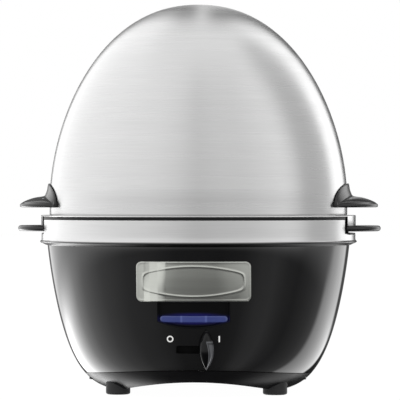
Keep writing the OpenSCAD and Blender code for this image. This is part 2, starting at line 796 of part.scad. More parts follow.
module buzzer() {
    color([0.08, 0.08, 0.08]) translate([9, board_y + board_t, lens_z + 1]) rotate([-90, 0, 0]) difference() {
        cylinder(r = 6, h = 6.5);
        translate([0, 0, 3]) cylinder(r = 1, h = 5);
    }
}

module board_capacitor() {
    color([0.15, 0.2, 0.45]) translate([-4, board_y + board_t, lens_z + 2]) rotate([-90, 0, 0])
        cylinder(r = 4, h = 9);
}

module board_connector() {
    color("ivory") translate([-19, board_y + board_t, lens_z - 5.5]) difference() {
        cube([10, 5, 6]);
        for (i = [0:2]) translate([1.2 + i * 2.8, 1.5, 1]) cube([2, 5, 4]);
    }
}

// Switch

module switch_legends() {
    color("white") intersection() {
        bowl_layer(-0.15, 0);
        front_prism(-body_r - 5, -body_r / 2) {
            translate([-13.6, switch_z + 6.2]) difference() {
                circle(r = 1.9);
                circle(r = 1.2);
            }
            translate([14.6, switch_z + 6.2]) square([0.8, 3.6], center = true);
        }
    }
}

// The lever's fin is pointed at its two ends and rounded in side view; its stem goes through the slot.
module switch_knob() {
    lens_r = (pow(fin_half_h, 2) + pow(fin_w / 2, 2)) / fin_w;
    side_r = 15;
    color([0.05, 0.05, 0.05]) translate([lever_x, 0, 0]) {
        difference() {
            intersection() {
                front_prism(-body_r - 10, -body_r / 2) translate([0, switch_z]) intersection() {
                    translate([lens_r - fin_w / 2, 0]) circle(r = lens_r);
                    translate([fin_w / 2 - lens_r, 0]) circle(r = lens_r);
                }
                translate([-20, shell_y - fin_out + side_r, switch_z]) rotate([0, 90, 0]) cylinder(r = side_r, h = 40);
            }
            translate([-lever_x, 0, 0]) bowl_solid(-0.5);
            translate([switch_travel - lever_x, 0, 0]) bowl_solid(-0.5);
        }
        translate([-stem_w / 2, shell_y - 1.5, switch_z - stem_h / 2])
            cube([stem_w, slider_y + slider_t - shell_y + 1.5, stem_h]);
    }
}

module switch_slider() {
    color([0.12, 0.12, 0.12]) difference() {
        translate([lever_x - slider_half_w, slider_y, switch_z - slider_half_h])
            cube([2 * slider_half_w, slider_t, 2 * slider_half_h]);
        translate([lever_x - stem_w / 2, slider_y - 1, switch_z - stem_h / 2]) cube([stem_w, 10, stem_h]);
    }
}

module switch_stem() {
    color("ivory") translate([lever_x - 2, slider_y + slider_t, switch_z - 1.5]) cube([4, 5, 3]);
}

module switch_body() {
    color([0.15, 0.15, 0.16]) difference() {
        union() {
            translate([-switch_half_w, bracket_y + 0.3, switch_z - switch_half_h])
                cube([2 * switch_half_w, switch_back_y - bracket_y, 2 * switch_half_h]);
            translate([-switch_half_w - 3, bracket_y + bracket_t, switch_z - switch_half_h])
                cube([2 * switch_half_w + 6, 1.5, 2 * switch_half_h]);
            for (x = [-8, 0, 8]) translate([x - 2, switch_back_y, switch_z - 0.4]) cube([4, 7, 0.8]);
        }
        translate([-lever_x - 2.3, slider_y, switch_z - 1.7]) cube([2 * lever_x + 4.6, 8, 3.4]);
    }
}

module switch_bracket() {
    color([0.2, 0.2, 0.2]) intersection() {
        difference() {
            union() {
                translate([-36, bracket_y, switch_z - 8]) cube([72, bracket_t, 16]);
                for (s = [-1, 1]) translate([-26, slider_y - 0.2, switch_z + s * (slider_half_h + 0.85) - 0.65])
                    cube([52, bracket_y - slider_y + 0.4, 1.3]);
            }
            translate([-switch_half_w - fit_gap, bracket_y - 5, switch_z - switch_half_h - fit_gap])
                cube([2 * (switch_half_w + fit_gap), 20, 2 * (switch_half_h + fit_gap)]);
            for (x = [-1, 1]) translate([x * bracket_ear_x, bracket_y + 5, switch_z]) rotate([90, 0, 0])
                cylinder(r = screw_r + screw_gap, h = 10);
        }
        bowl_solid(shell_wall + 0.6);
    }
}

module bracket_screws() {
    color("silver") for (x = [-1, 1]) translate([x * bracket_ear_x, bracket_y + bracket_t, switch_z])
        rotate([90, 0, 0]) pan_screw(screw_r, 6, 2.9, 2);
}

// Power cord inlet

module cord_gland() {
    color([0.05, 0.05, 0.05]) translate([0, gland_y, gland_z]) rotate([-90, 0, 0]) difference() {
        union() {
            cylinder(r = gland_flange_r, h = 2.5);
            translate([0, 0, -6]) cylinder(r = gland_neck_r, h = 7);
            translate([0, 0, -6]) cylinder(r = gland_neck_r + 1.2, h = 2);
            translate([0, 0, 2.5]) cylinder(r = cord_bore_r + 2, h = 5);
        }
        translate([0, 0, -10]) cylinder(r = cord_bore_r, h = 30);
    }
}

module cord_clamp() {
    color([0.15, 0.15, 0.15]) difference() {
        translate([-13, clamp_y - 3.5, clamp_shelf_z]) cube([26, 7, gland_z + cord_bore_r + 2 - clamp_shelf_z]);
        translate([0, clamp_y - 10, gland_z]) rotate([-90, 0, 0]) cylinder(r = cord_bore_r, h = 20);
        for (x = [-1, 1]) translate([x * 9, clamp_y, clamp_shelf_z - 1]) cylinder(r = screw_r + screw_gap, h = 30);
    }
}

module clamp_screws() {
    top = gland_z + cord_bore_r + 2;
    color("silver") for (x = [-1, 1]) translate([x * 9, clamp_y, top]) mirror([0, 0, 1])
        pan_screw(screw_r, top - clamp_shelf_z + 2.5, 2.9, 2);
}

module terminal_block() {
    color([0.85, 0.85, 0.8]) translate([-15, 40, 14]) difference() {
        cube([30, 12, 9]);
        for (i = [0:2]) {
            translate([5 + i * 10, 6, 4]) cylinder(r = 2.2, h = 10, $fn = 32);
            translate([5 + i * 10, -1, 3.5]) rotate([-90, 0, 0]) cylinder(r = 1.6, h = 20, $fn = 32);
        }
    }
}

// Wire routes: points chosen by hand.
wire_routes = [
    [[-10, 40, 17.5], [-12, 30, 16], [-22, 10, 18], [-22, -15, 20], [-14, -34, 25], [-8, -45, 28.9]],
    [[8, -45, 28.9], [10, -38, 32], [16, -24, 40], [12, -10, 48], [4, -3, 52], [4, 0, 57]],
    [[-4, 0, 57], [-6, 5, 52], [-14, 20, 45], [-14, 40, 42], [-11.4, 50, 44], [-11.4, 53.8, 47]],
    [[10, 40, 17.5], [12, 33, 18], [18, 36, 28], [16, 48, 38], [11.4, 53.8, 47]],
    [[0, -45, 28.9], [0, -38, 30], [-4, -40, 36], [-12, -52, 42], [-12, -62, 44], [-12, -66, 44]]
];

function unit(v) = v / norm(v);
function along(p, i) = unit(p[min(i + 1, len(p) - 1)] - p[max(i - 1, 0)]);
// Points of a Catmull-Rom curve through the route, so that the wire bends smoothly.
function curve_at(p, i, t) = let (
    a = p[max(i - 1, 0)], b = p[i], c = p[i + 1], d = p[min(i + 2, len(p) - 1)]
) 0.5 * ((2 * b) + (c - a) * t + (2 * a - 5 * b + 4 * c - d) * t * t + (3 * b - a - 3 * c + d) * t * t * t);
function curve(p) = concat(
    [for (i = [0:len(p) - 2], k = [0:2]) curve_at(p, i, k / 3)], [p[len(p) - 1]]
);

// A tube of radius r and eight sides along the points p.
module tube(p, r) {
    sides = 8;
    rings = [for (i = [0:len(p) - 1]) let (
        d = along(p, i), side = unit(cross(d, [1, 0.2, 0.1])), up = cross(d, side)
    ) [for (k = [0:sides - 1]) p[i] + r * (cos(k * 360 / sides) * side + sin(k * 360 / sides) * up)]];
    polyhedron(
        points = [for (ring = rings) each ring],
        faces = concat(
            [[for (k = [0:sides - 1]) k]],
            [for (i = [0:len(p) - 2], k = [0:sides - 1])
                [i * sides + k, (i + 1) * sides + k, (i + 1) * sides + (k + 1) % sides, i * sides + (k + 1) % sides]],
            [[for (k = [sides - 1:-1:0]) (len(p) - 1) * sides + k]]
        )
    );
}

module inner_wires() {
    color("sienna") for (route = wire_routes) tube(curve(route), wire_r);
}

// Egg tray

module tray_pan() {
    color([0.75, 0.75, 0.74]) rotate([0, 0, -notch_turn]) difference() {
        union() {
            rotate_extrude() polygon([
                [0, pan_floor_z], [pan_r, pan_floor_z], [pan_r, flange_z], [flange_r, flange_z],
                [flange_r, flange_top], [pan_r, flange_top], [pan_r, flange_top + bead_h],
                [pan_r - sheet, flange_top + bead_h], [pan_r - sheet, pan_floor_z + sheet],
                [0, pan_floor_z + sheet]
            ]);
            for (p = egg_places) translate([p[0], p[1], pan_floor_z])
                cylinder(r = egg_hole_r + 1, h = sheet + 1);
            for (side = [0, 180]) rotate([0, 0, side]) ring_part(flange_r, tab_in, tab_bottom, flange_top, tab_half);
        }
        for (p = egg_places) translate([p[0], p[1], pan_floor_z - 1]) cylinder(r = egg_hole_r, h = 6);
        for (i = [0:outer_eggs - 1]) rotate([0, 0, (i + 0.5) * 360 / outer_eggs]) for (r = [egg_ring_r - 19, pan_r - 8])
            translate([r, 0, pan_floor_z - 1]) cylinder(r = 2.5, h = 6);
        for (side = [0, 180], s = [-1, 1]) rotate([0, 0, side + s * rivet_angle])
            translate([tab_in - 1, 0, rivet_z]) rotate([0, 90, 0]) cylinder(r = rivet_r, h = 4, $fn = 48);
    }
}

egg_places = concat(
    [for (i = [0:outer_eggs - 1]) egg_ring_r * [cos(i * 360 / outer_eggs), sin(i * 360 / outer_eggs)]],
    [[0, egg_inner_r], [0, -egg_inner_r]]
);

module tray_handle(side) {
    color([0.06, 0.06, 0.06]) at_notch(side) difference() {
        union() {
            translate([0, 0, tray_handle_z]) linear_extrude(tray_handle_t) difference() {
                translate([handle_reach - tray_lug_r, 0]) circle(r = tray_lug_r);
                circle(r = tray_root_in);
                translate([-big, -big / 2]) square([big + tray_root_in * cos(tab_half), big]);
            }
            ring_part(tab_in, tray_root_in, tray_handle_z, tray_root_top, tray_root_half);
        }
        for (s = [-1, 1]) rotate([0, 0, s * rivet_angle]) translate([tray_root_in - 1, 0, rivet_z])
            rotate([0, 90, 0]) cylinder(r = rivet_r, h = 10, $fn = 48);
    }
}

module tray_handle_left() { tray_handle(1); }
module tray_handle_right() { tray_handle(0); }

module tray_rivets() {
    color("silver") for (side = [0, 1], s = [-1, 1]) at_notch(side) rotate([0, 0, s * rivet_angle])
        translate([0, 0, rivet_z]) rotate([0, 90, 0]) {
            translate([0, 0, tray_root_in - 0.6]) cylinder(r = rivet_r, h = flange_r - tray_root_in + 0.5, $fn = 48);
            translate([0, 0, tray_root_in - 0.6]) cylinder(r = rivet_r + 1, h = 0.6, $fn = 48);
        }
}

// Lid

module lid_dome() {
    outside = dome_points(0);
    inside = dome_points(sheet);
    color([0.78, 0.78, 0.77]) difference() {
        rotate_extrude() polygon(concat(outside, [for (i = [len(inside) - 1:-1:0]) inside[i]]));
        for (side = [0, 1], s = [-1, 1]) at_lid_handle(side) rotate([0, 0, s * lid_screw_angle])
            translate([lid_r - 5, 0, lid_screw_z]) rotate([0, 90, 0]) cylinder(r = lid_screw_r + screw_gap, h = 10);
        for (x = [-9, 0, 9]) translate([x, 20, lid_foot_z + lid_dome_h * 0.86])
            rotate([-90, 0, 0]) cylinder(r = steam_hole_r, h = 80);
    }
}

// Half-ellipse-like outline of the back plate: its top is full and its corners fall steeply.
module saddle_outline() {
    fullness = 0.8;
    polygon([for (a = [0:7.5:180])
        [lid_handle_half_w * sign(cos(a)) * pow(abs(cos(a)), fullness), lid_handle_h * pow(sin(a), fullness)]]);
}

module lid_handle(side) {
    color([0.06, 0.06, 0.06]) at_lid_handle(side) difference() {
        union() {
            intersection() {
                ring(lid_plate_out, lid_plate_in, lid_handle_z, lid_handle_z + lid_handle_h + 1);
                translate([0, 0, lid_handle_z]) rotate([90, 0, 90]) linear_extrude(big / 2) saddle_outline();
            }
            intersection() {
                translate([0, 0, lid_handle_z]) linear_extrude(wing_root_h) difference() {
                    translate([lid_handle_reach - wing_r, 0]) circle(r = wing_r);
                    circle(r = lid_plate_in);
                    translate([-big, -big / 2]) square([big + wing_corner_x - 5, big]);
                }
                rotate_extrude() polygon([
                    [lid_plate_in - 5, lid_handle_z], [lid_handle_reach, lid_handle_z],
                    [lid_handle_reach, lid_handle_z + wing_tip_h], [lid_plate_out, lid_handle_z + wing_root_h],
                    [lid_plate_in - 5, lid_handle_z + wing_root_h]
                ]);
                translate([0, 0, lid_handle_z + wing_root_h - 150]) rotate([0, 90, 0]) cylinder(r = 150, h = big);
            }
        }
        for (s = [-1, 1]) rotate([0, 0, s * lid_screw_angle]) translate([lid_r - 1, 0, lid_screw_z])
            rotate([0, 90, 0]) cylinder(r = lid_screw_r, h = 7, $fn = 48);
    }
}

module lid_handle_left() { lid_handle(1); }
module lid_handle_right() { lid_handle(0); }

module lid_handle_plates() {
    color("silver") for (side = [0, 1]) at_lid_handle(side) difference() {
        ring_part(lid_r - sheet - 0.05, lid_r - sheet - lid_backing_t, lid_screw_z - 3.4, lid_screw_z + 3.4,
                  lid_screw_angle + 4);
        for (s = [-1, 1]) rotate([0, 0, s * lid_screw_angle]) translate([lid_r - 10, 0, lid_screw_z])
            rotate([0, 90, 0]) cylinder(r = lid_screw_r + screw_gap, h = 20, $fn = 48);
    }
}

module lid_handle_screws() {
    color("silver") for (side = [0, 1], s = [-1, 1]) at_lid_handle(side) rotate([0, 0, s * lid_screw_angle])
        translate([lid_r - sheet - lid_backing_t - 0.1, 0, lid_screw_z]) rotate([0, 90, 0])
            pan_screw(lid_screw_r, 7.4, 3.4, 1.8);
}

base_shell();
bottom_cover();
rubber_feet();
cover_screws();
rim_band();
rim_collar();
collar_screws();
heating_plate();
plate_seal();
plate_studs();
stud_nuts();
heating_element();
element_bushings();
element_clamp();
heat_shield();
thermostat();
thermostat_bracket();
thermostat_screws();
thermal_fuse();
fuse_clip();
nameplate();
nameplate_nuts();
indicator_bezel();
indicator_lens();
indicator_leds();
control_board();
board_screws();
buzzer();
board_capacitor();
board_connector();
switch_legends();
switch_body();
switch_bracket();
bracket_screws();
switch_stem();
switch_slider();
switch_knob();
cord_gland();
cord_clamp();
clamp_screws();
terminal_block();
inner_wires();
tray_pan();
tray_handle_left();
tray_handle_right();
tray_rivets();
lid_dome();
lid_handle_left();
lid_handle_right();
lid_handle_plates();
lid_handle_screws();
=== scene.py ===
# Egg cooker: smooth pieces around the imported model, with studio light and camera.
import bpy
import json
import numpy as np
from math import radians, pi
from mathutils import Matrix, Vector

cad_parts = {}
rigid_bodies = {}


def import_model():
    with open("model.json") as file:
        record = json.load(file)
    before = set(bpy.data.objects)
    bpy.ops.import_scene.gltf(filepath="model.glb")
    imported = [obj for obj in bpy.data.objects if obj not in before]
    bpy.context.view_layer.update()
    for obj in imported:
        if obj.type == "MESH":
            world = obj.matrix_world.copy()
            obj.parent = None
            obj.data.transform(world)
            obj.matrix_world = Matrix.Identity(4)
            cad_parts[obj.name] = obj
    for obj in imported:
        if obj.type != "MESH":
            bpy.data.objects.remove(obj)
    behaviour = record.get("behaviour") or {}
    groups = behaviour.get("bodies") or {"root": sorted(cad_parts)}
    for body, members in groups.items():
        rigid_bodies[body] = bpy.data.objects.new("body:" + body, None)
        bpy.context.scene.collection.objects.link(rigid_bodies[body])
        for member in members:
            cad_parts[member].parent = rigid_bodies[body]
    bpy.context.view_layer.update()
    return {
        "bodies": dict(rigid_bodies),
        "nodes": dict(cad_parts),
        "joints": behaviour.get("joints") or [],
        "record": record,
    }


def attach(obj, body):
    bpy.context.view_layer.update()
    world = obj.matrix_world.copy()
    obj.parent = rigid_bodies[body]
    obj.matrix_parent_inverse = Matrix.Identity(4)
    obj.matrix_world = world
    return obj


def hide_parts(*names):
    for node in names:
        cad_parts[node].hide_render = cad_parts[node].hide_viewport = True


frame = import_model()
nodes = frame["nodes"]
scene = bpy.context.scene
mm = 0.001
print("frame loaded:", len(nodes), "nodes")


# Small tools

def srgb(code):
    # Hex colour to linear light: c / 12.92 below 0.04045, else ((c + 0.055) / 1.055) ^ 2.4.
    c = np.array([int(code[i:i + 2], 16) for i in (1, 3, 5)]) / 255
    c = np.where(c <= 0.04045, c / 12.92, ((c + 0.055) / 1.055) ** 2.4)
    return (*c.tolist(), 1.0)


def addNode(tree, kind, values=None, links=None):
    # A key that the node owns is set on it; any other key is one of its inputs.
    node = tree.nodes.new("ShaderNode" + kind)
    for key, value in (values or {}).items():
        if isinstance(key, str) and hasattr(node, key):
            setattr(node, key, value)
        else:
            node.inputs[key].default_value = value
    for key, socket in (links or {}).items():
        tree.links.new(socket, node.inputs[key])
    return node


def setStops(ramp, stops):
    # stops are (place, colour) from left to right
    first, last = ramp.elements[0], ramp.elements[1]
    first.position, first.color = stops[0]
    last.position, last.color = stops[-1]
    for place, colour in stops[1:-1]:
        ramp.elements.new(place).color = colour


def grey(v):
    return (v, v, v, 1)


def ramp(low, high, first=0, last=1, **more):
    # What a Map Range node needs to go from first to last as its value goes from low to high
    return {"From Min": low, "From Max": high, "To Min": first, "To Max": last, **more}


def noiseOf(spacing, detail=3.0):
    # What a Noise Texture needs for spots a given number of millimetres apart
    return {"Scale": 1 / (spacing * mm), "Detail": detail}


# Camera and light

camera = {"azimuth": 1.9, "distance": 1.5, "height": 0.1148, "lens": 223, "aside": 0.0009}
turn = radians(camera["azimuth"])
right = Vector((np.cos(turn), np.sin(turn), 0))
towards = Vector((np.sin(turn), -np.cos(turn), 0))
lensData = bpy.data.cameras.new("studioCamera")
lensData.lens = camera["lens"]
lensData.sensor_width = 36
lensData.clip_start = 0.01
eye = bpy.data.objects.new("studioCamera", lensData)
eye.location = towards * camera["distance"] + right * camera["aside"] + Vector((0, 0, camera["height"]))
eye.rotation_euler = (pi / 2, 0, turn)
scene.collection.objects.link(eye)
scene.camera = eye
scene.view_settings.view_transform = "Standard"

# How bright the studio is at each azimuth, in degrees from the front towards the right.
studio = {
    "below": [(-180, 0.04), (-175, 0.03), (-162, 0.03), (-158, 5.2), (-143, 5.2), (-132, 3.6), (-115, 1.7),
              (-102, 1.0), (-90, 0.7), (-80, 0.5), (-57, 0.27), (-36, 0.2), (-16, 0.1), (2, 0.09), (20, 0.08),
              (38, 0.12), (52, 0.26), (64, 0.3), (77, 0.17), (87, 0.12), (98, 0.18), (109, 0.26), (119, 0.4),
              (124, 1.6), (132, 1.9), (144, 2.3), (156, 2.6), (159, 0.03), (174, 0.03), (180, 0.04)],
    "above": [(-180, 1.0), (-174, 0.2), (-160, 0.25), (-156, 1.75), (-143, 1.6), (-132, 1.55),
              (-115, 1.45), (-102, 1.4), (-80, 1.35), (-57, 1.27), (-36, 1.22), (-16, 1.1), (-3, 0.95),
              (2, 0.9), (7, 0.95), (22, 1.0), (38, 1.02), (60, 1.15), (72, 1.25), (82, 1.1), (92, 0.75),
              (106, 0.7), (118, 0.75), (124, 0.9), (130, 1.6), (142, 1.8), (154, 1.6), (158, 0.12),
              (173, 0.12), (177, 0.9), (180, 1.0)],
    "brightest": 5.2,
    "overhead": 1.25,
    "floor": 0.06,
    # Heights of a direction between which one part gives way to the next
    "floorToWall": (-0.97, -0.83),
    "lowToHigh": (-0.24, -0.12),
    "wallToCeiling": (0.8, 0.97),
    "spread": (1.15, 0.95),
}


def makeStudio():
    world = bpy.data.worlds.new("softStudio")
    scene.world = world
    world.use_nodes = True
    tree = world.node_tree
    tree.nodes.clear()
    spot = addNode(tree, "TexCoord")
    split = addNode(tree, "SeparateXYZ", links={0: spot.outputs["Generated"]})
    back = addNode(tree, "Math", {"operation": "MULTIPLY", 1: -1}, {0: split.outputs[1]})
    angle = addNode(tree, "Math", {"operation": "ARCTAN2"}, {0: split.outputs[0], 1: back.outputs[0]})
    # The right side is spread out more the further down it is seen
    spread = addNode(tree, "MapRange", ramp(-1, 0, *studio["spread"]), {"Value": split.outputs[2]})
    toRight = addNode(tree, "Math", {"operation": "MAXIMUM", 1: 0}, {0: angle.outputs[0]})
    toLeft = addNode(tree, "Math", {"operation": "MINIMUM", 1: 0}, {0: angle.outputs[0]})
    wider = addNode(tree, "Math", {"operation": "MULTIPLY_ADD"},
                    {0: toRight.outputs[0], 1: spread.outputs[0], 2: toLeft.outputs[0]})
    top = studio["brightest"]
    walls = {}
    for half in ("below", "above"):
        facing = wider if half == "below" else angle
        share = addNode(tree, "MapRange", ramp(-pi, pi), {"Value": facing.outputs[0]})
        ring = addNode(tree, "ValToRGB", links={0: share.outputs[0]})
        setStops(ring.color_ramp, [((a + 180) / 360, grey(v / top)) for a, v in studio[half]])
        walls[half] = addNode(tree, "VectorMath", {"operation": "SCALE", "Scale": top}, {0: ring.outputs[0]})

    def blend(heights, first, second):
        # From the first colour to the second as the direction rises from one height to the other
        rise = addNode(tree, "MapRange", ramp(*heights, interpolation_type="SMOOTHSTEP"),
                       {"Value": split.outputs[2]})
        mix = addNode(tree, "Mix", {"data_type": "RGBA"}, {0: rise.outputs[0]})
        for slot, colour in ((6, first), (7, second)):
            if isinstance(colour, tuple):
                mix.inputs[slot].default_value = colour
            else:
                tree.links.new(colour, mix.inputs[slot])
        return mix.outputs[2]

    room = blend(studio["lowToHigh"], walls["below"].outputs[0], walls["above"].outputs[0])
    room = blend(studio["wallToCeiling"], room, grey(studio["overhead"]))
    room = blend(studio["floorToWall"], grey(studio["floor"]), room)
    path = addNode(tree, "LightPath")
    seen = addNode(tree, "Mix", {"data_type": "RGBA", 7: grey(1.0)},
                   {0: path.outputs["Is Camera Ray"], 6: room})
    light = addNode(tree, "Background", links={0: seen.outputs[2]})
    addNode(tree, "OutputWorld", links={0: light.outputs[0]})


makeStudio()
print("camera and studio ready")


# Materials

def emptyMaterial(name):
    finish = bpy.data.materials.new(name)
    finish.use_nodes = True
    finish.node_tree.nodes.clear()
    return finish, finish.node_tree


def startMaterial(name, **settings):
    finish, tree = emptyMaterial(name)
    shader = addNode(tree, "BsdfPrincipled", settings)
    addNode(tree, "OutputMaterial", links={0: shader.outputs[0]})
    place = addNode(tree, "TexCoord")
    return finish, tree, shader, place.outputs["Object"]


def link(tree, source, target):
    tree.links.new(source, target)


def shades(colour, factors):
    # The colour times each factor
    return [tuple(min(c * f, 1) for c in srgb(colour)[:3]) + (1,) for f in factors]


def hexStops(stops):
    return [(place, srgb(code)) for place, code in stops]


noiseRange = (0.3, 0.7)                                  # nearly all of a noise lies between these


def wander(tree, shader, tintBy, dullBy, fine, colours, dullness, relief):
    # Colour and roughness follow noises between two ends, and the fine noise is a shallow relief
    tint = addNode(tree, "ValToRGB", links={0: tintBy.outputs[0]})
    setStops(tint.color_ramp, list(zip(noiseRange, colours)))
    dull = addNode(tree, "MapRange", ramp(*noiseRange, *dullness), {"Value": dullBy.outputs[0]})
    link(tree, dull.outputs[0], shader.inputs["Roughness"])
    dent = addNode(tree, "Bump", {"Strength": relief[0], "Distance": relief[1] * mm},
                   {"Height": fine.outputs[0]})
    link(tree, dent.outputs[0], shader.inputs["Normal"])
    return tint.outputs[0], dent


steel = {"acrossGrain": 0.02, "patch": 9, "tints": (0.96, 1.03), "bump": 0.12, "hemFade": 0.7,
         "hemShade": 0.12}


def brushedSteel(name, colour, roughness, lineSpacing=0.25, path=True, depth=0.02, hem=None, stretch=0.8,
                 lean=None):
    # Brushed stainless steel: fine lines along the grain, which stretch highlights across them.
    finish, tree, shader, place = startMaterial(name, Metallic=1.0, Anisotropic=stretch if path else 0.0)
    shader.inputs["Anisotropic Rotation"].default_value = 0.25
    if path:
        grain = addNode(tree, "Attribute", {"attribute_name": "grainPath"}).outputs["Vector"]
        way = addNode(tree, "Tangent", {"direction_type": "RADIAL", "axis": "Z"})
        link(tree, way.outputs[0], shader.inputs["Tangent"])
    else:
        across = steel["acrossGrain"]
        grain = addNode(tree, "Mapping", {"Scale": (across, across, 1)}, {0: place}).outputs[0]
    fine = addNode(tree, "TexNoise", noiseOf(lineSpacing), {"Vector": grain})
    broad = addNode(tree, "TexNoise", noiseOf(steel["patch"], 2.0), {"Vector": grain})
    tint, dent = wander(tree, shader, fine, broad, fine, shades(colour, steel["tints"]),
                        (roughness - 0.03, roughness + 0.04), (steel["bump"], depth))
    if hem:
        # Below the hem's height the colour is darkened: a painted dark reflection of the black shell that the
        # steel faces
        height = addNode(tree, "SeparateXYZ", links={0: place}).outputs[2]
        paintedReflectionShade = addNode(tree, "MapRange", ramp((hem - steel["hemFade"]) * mm, hem * mm, steel["hemShade"]),
                        {"Value": height})
        shade = addNode(tree, "VectorMath", {"operation": "SCALE"}, {0: tint, "Scale": paintedReflectionShade.outputs[0]})
        tint = shade.outputs[0]
    link(tree, tint, shader.inputs["Base Color"])
    if lean:
        # The pressed sheet leans back by an amount that changes along it: height = lean x (z - middle)
        split = addNode(tree, "SeparateXYZ", links={0: place})
        along = addNode(tree, "MapRange", ramp(-lean["halfWidth"] * mm, lean["halfWidth"] * mm),
                        {"Value": split.outputs[0]})
        amount = addNode(tree, "ValToRGB", links={0: along.outputs[0]})
        setStops(amount.color_ramp, [(part, grey(v)) for part, v in lean["stops"]])
        middle = lean["middle"] * mm
        level = addNode(tree, "Math", {"operation": "SUBTRACT", 1: middle}, {0: split.outputs[2]})
        rise = addNode(tree, "Math", {"operation": "MULTIPLY"}, {0: amount.outputs[0], 1: level.outputs[0]})
        bend = addNode(tree, "Bump", {"Strength": 1.0, "Distance": lean["distance"]},
                       {"Height": rise.outputs[0]})
        link(tree, bend.outputs[0], dent.inputs["Normal"])
    return finish


plastic = {"patch": 14, "tints": (0.88, 1.12), "bump": 0.4}


def mouldedPlastic(name, colour, roughness, grain=0.6, depth=0.01, shine=0.5):
    # A moulded surface: even, with a fine grain from its mould and faint dull patches.
    finish, tree, shader, place = startMaterial(name)
    shader.inputs["Specular IOR Level"].default_value = shine
    fine = addNode(tree, "TexNoise", noiseOf(grain, 4.0), {"Vector": place})
    patch = addNode(tree, "TexNoise", noiseOf(plastic["patch"], 2.0), {"Vector": place})
    tint, _ = wander(tree, shader, patch, patch, fine, shades(colour, plastic["tints"]),
                     (roughness * 0.9, roughness * 1.12), (plastic["bump"], depth))
    link(tree, tint, shader.inputs["Base Color"])
    return finish


def colourAndGrain(tree, shader, place, tint, grain, strength, depth):
    # A ramp's colour and a fine grain, whose spacing and depth are in millimetres
    fine = addNode(tree, "TexNoise", noiseOf(grain), {"Vector": place})
    dent = addNode(tree, "Bump", {"Strength": strength, "Distance": depth * mm}, {"Height": fine.outputs[0]})
    link(tree, tint.outputs[0], shader.inputs["Base Color"])
    link(tree, dent.outputs[0], shader.inputs["Normal"])


# The painted glow's height, and how many times it falls off per metre across and up
glow = {"z": 46.7, "across": 38, "up": 240, "stops": [(0.55, "#12105a"), (0.85, "#07061f"), (1.0, "#030304")]}


def recessPlastic():
    # Spark-eroded matt black ABS; a painted blue glow close to the lens stands in for light spilling from the
    # lamps.
    finish, tree, shader, place = startMaterial("mattBlackAbsRecess", Roughness=0.5)
    shader.inputs["Specular IOR Level"].default_value = 0.15
    near = addNode(tree, "Mapping", {"Location": (0, 0, -glow["z"] * mm * glow["up"]),
                                     "Scale": (glow["across"], 0, glow["up"])}, {0: place})
    ball = addNode(tree, "VectorMath", {"operation": "LENGTH"}, {0: near.outputs[0]})
    tint = addNode(tree, "ValToRGB", links={0: ball.outputs["Value"]})
    setStops(tint.color_ramp, hexStops(glow["stops"]))
    colourAndGrain(tree, shader, place, tint, 0.4, 0.3, 0.02)
    return finish


chambers = {"halfWidth": 20, "stops": [(0, "#39427a"), (0.31, "#3b447c"), (0.355, "#525c93"),
                                       (0.4, "#353e74"), (0.9, "#3a4379"), (0.97, "#5a6390")]}


def lensAcrylic():
    # Tinted acrylic, frosted inside: three chambers, whose two walls show as paler bars.
    finish, tree, shader, place = startMaterial("tintedBlueAcrylic", Roughness=0.15)
    across = addNode(tree, "SeparateXYZ", links={0: place}).outputs[0]
    side = addNode(tree, "Math", {"operation": "ABSOLUTE"}, {0: across})
    share = addNode(tree, "MapRange", ramp(0, chambers["halfWidth"] * mm), {"Value": side.outputs[0]})
    tint = addNode(tree, "ValToRGB", links={0: share.outputs[0]})
    setStops(tint.color_ramp, hexStops(chambers["stops"]))
    colourAndGrain(tree, shader, place, tint, 1.5, 0.2, 0.02)
    return finish


# Colours of the lever's painted light: black outside, a painted highlight at the crescent's edge, grey painted
# light inside
paintedLightStops = [(0, "#040405"), (0.2, "#060607"), (0.38, "#5c5d60"), (0.6, "#333436"), (0.9, "#303133"),
            (1, "#4c4d50")]


def leverPlastic():
    # Glossy black ABS with a grey crescent of painted light on its lit face and a painted highlight along the
    # crescent's edge, marked by the attribute.
    finish, tree, shader, place = startMaterial("glossBlackAbsLever", Roughness=0.2)
    shader.inputs["Specular IOR Level"].default_value = 0.25
    paintedLight = addNode(tree, "Attribute", {"attribute_name": "grainPath"}).outputs["Vector"]
    paintedLight = addNode(tree, "SeparateXYZ", links={0: paintedLight}).outputs[0]
    share = addNode(tree, "MapRange", ramp(0, mm), {"Value": paintedLight})
    tint = addNode(tree, "ValToRGB", links={0: share.outputs[0]})
    setStops(tint.color_ramp, hexStops(paintedLightStops))
    colourAndGrain(tree, shader, place, tint, 0.9, 0.3, 0.004)
    return finish


badgeLean = {"halfWidth": 33, "middle": 68.2, "distance": -0.3,
             "stops": [(0, 0.3), (0.07, 0.4), (0.12, 1), (0.19, 1), (0.26, 0.12), (0.35, 0.03), (0.7, 0),
                       (0.8, 0.15), (1, 0.3)]}

recessBlack = recessPlastic()
# Drawn or rolled sheet, brushed round the object: lines along it and long soft highlights across them
steelLid = brushedSteel("brushedStainlessLid", "#c8c8c8", 0.27)
steelRim = brushedSteel("brushedStainlessRim", "#cdcdcd", 0.28, hem=90.9)
steelBadge = brushedSteel("brushedStainlessBadge", "#bcbeb8", 0.3, stretch=0.5, lean=badgeLean)
# Spun or stamped: duller, with no long highlights
steelPlate = brushedSteel("spunStainlessPlate", "#c4c2bd", 0.34, path=False)
# Plated: bright, with marks drawn coarser than the real ones, so that they show
zincSteel = brushedSteel("zincPlatedSteel", "#c8cbcf", 0.3, lineSpacing=0.8, path=False)
# From a polished mould: a deep black with sharp reflections
glossShell = mouldedPlastic("polishedBlackAbs", "#0b0b0c", 0.035, grain=3.0, depth=0.004, shine=0.8)
# From textured moulds: soft, weak reflections
satinCover = mouldedPlastic("satinBlackPolypropylene", "#0b0b0c", 0.3, grain=0.7, shine=0.12)
satinCollar = mouldedPlastic("satinBlackNylon", "#060607", 0.4, grain=0.7, shine=0.2)
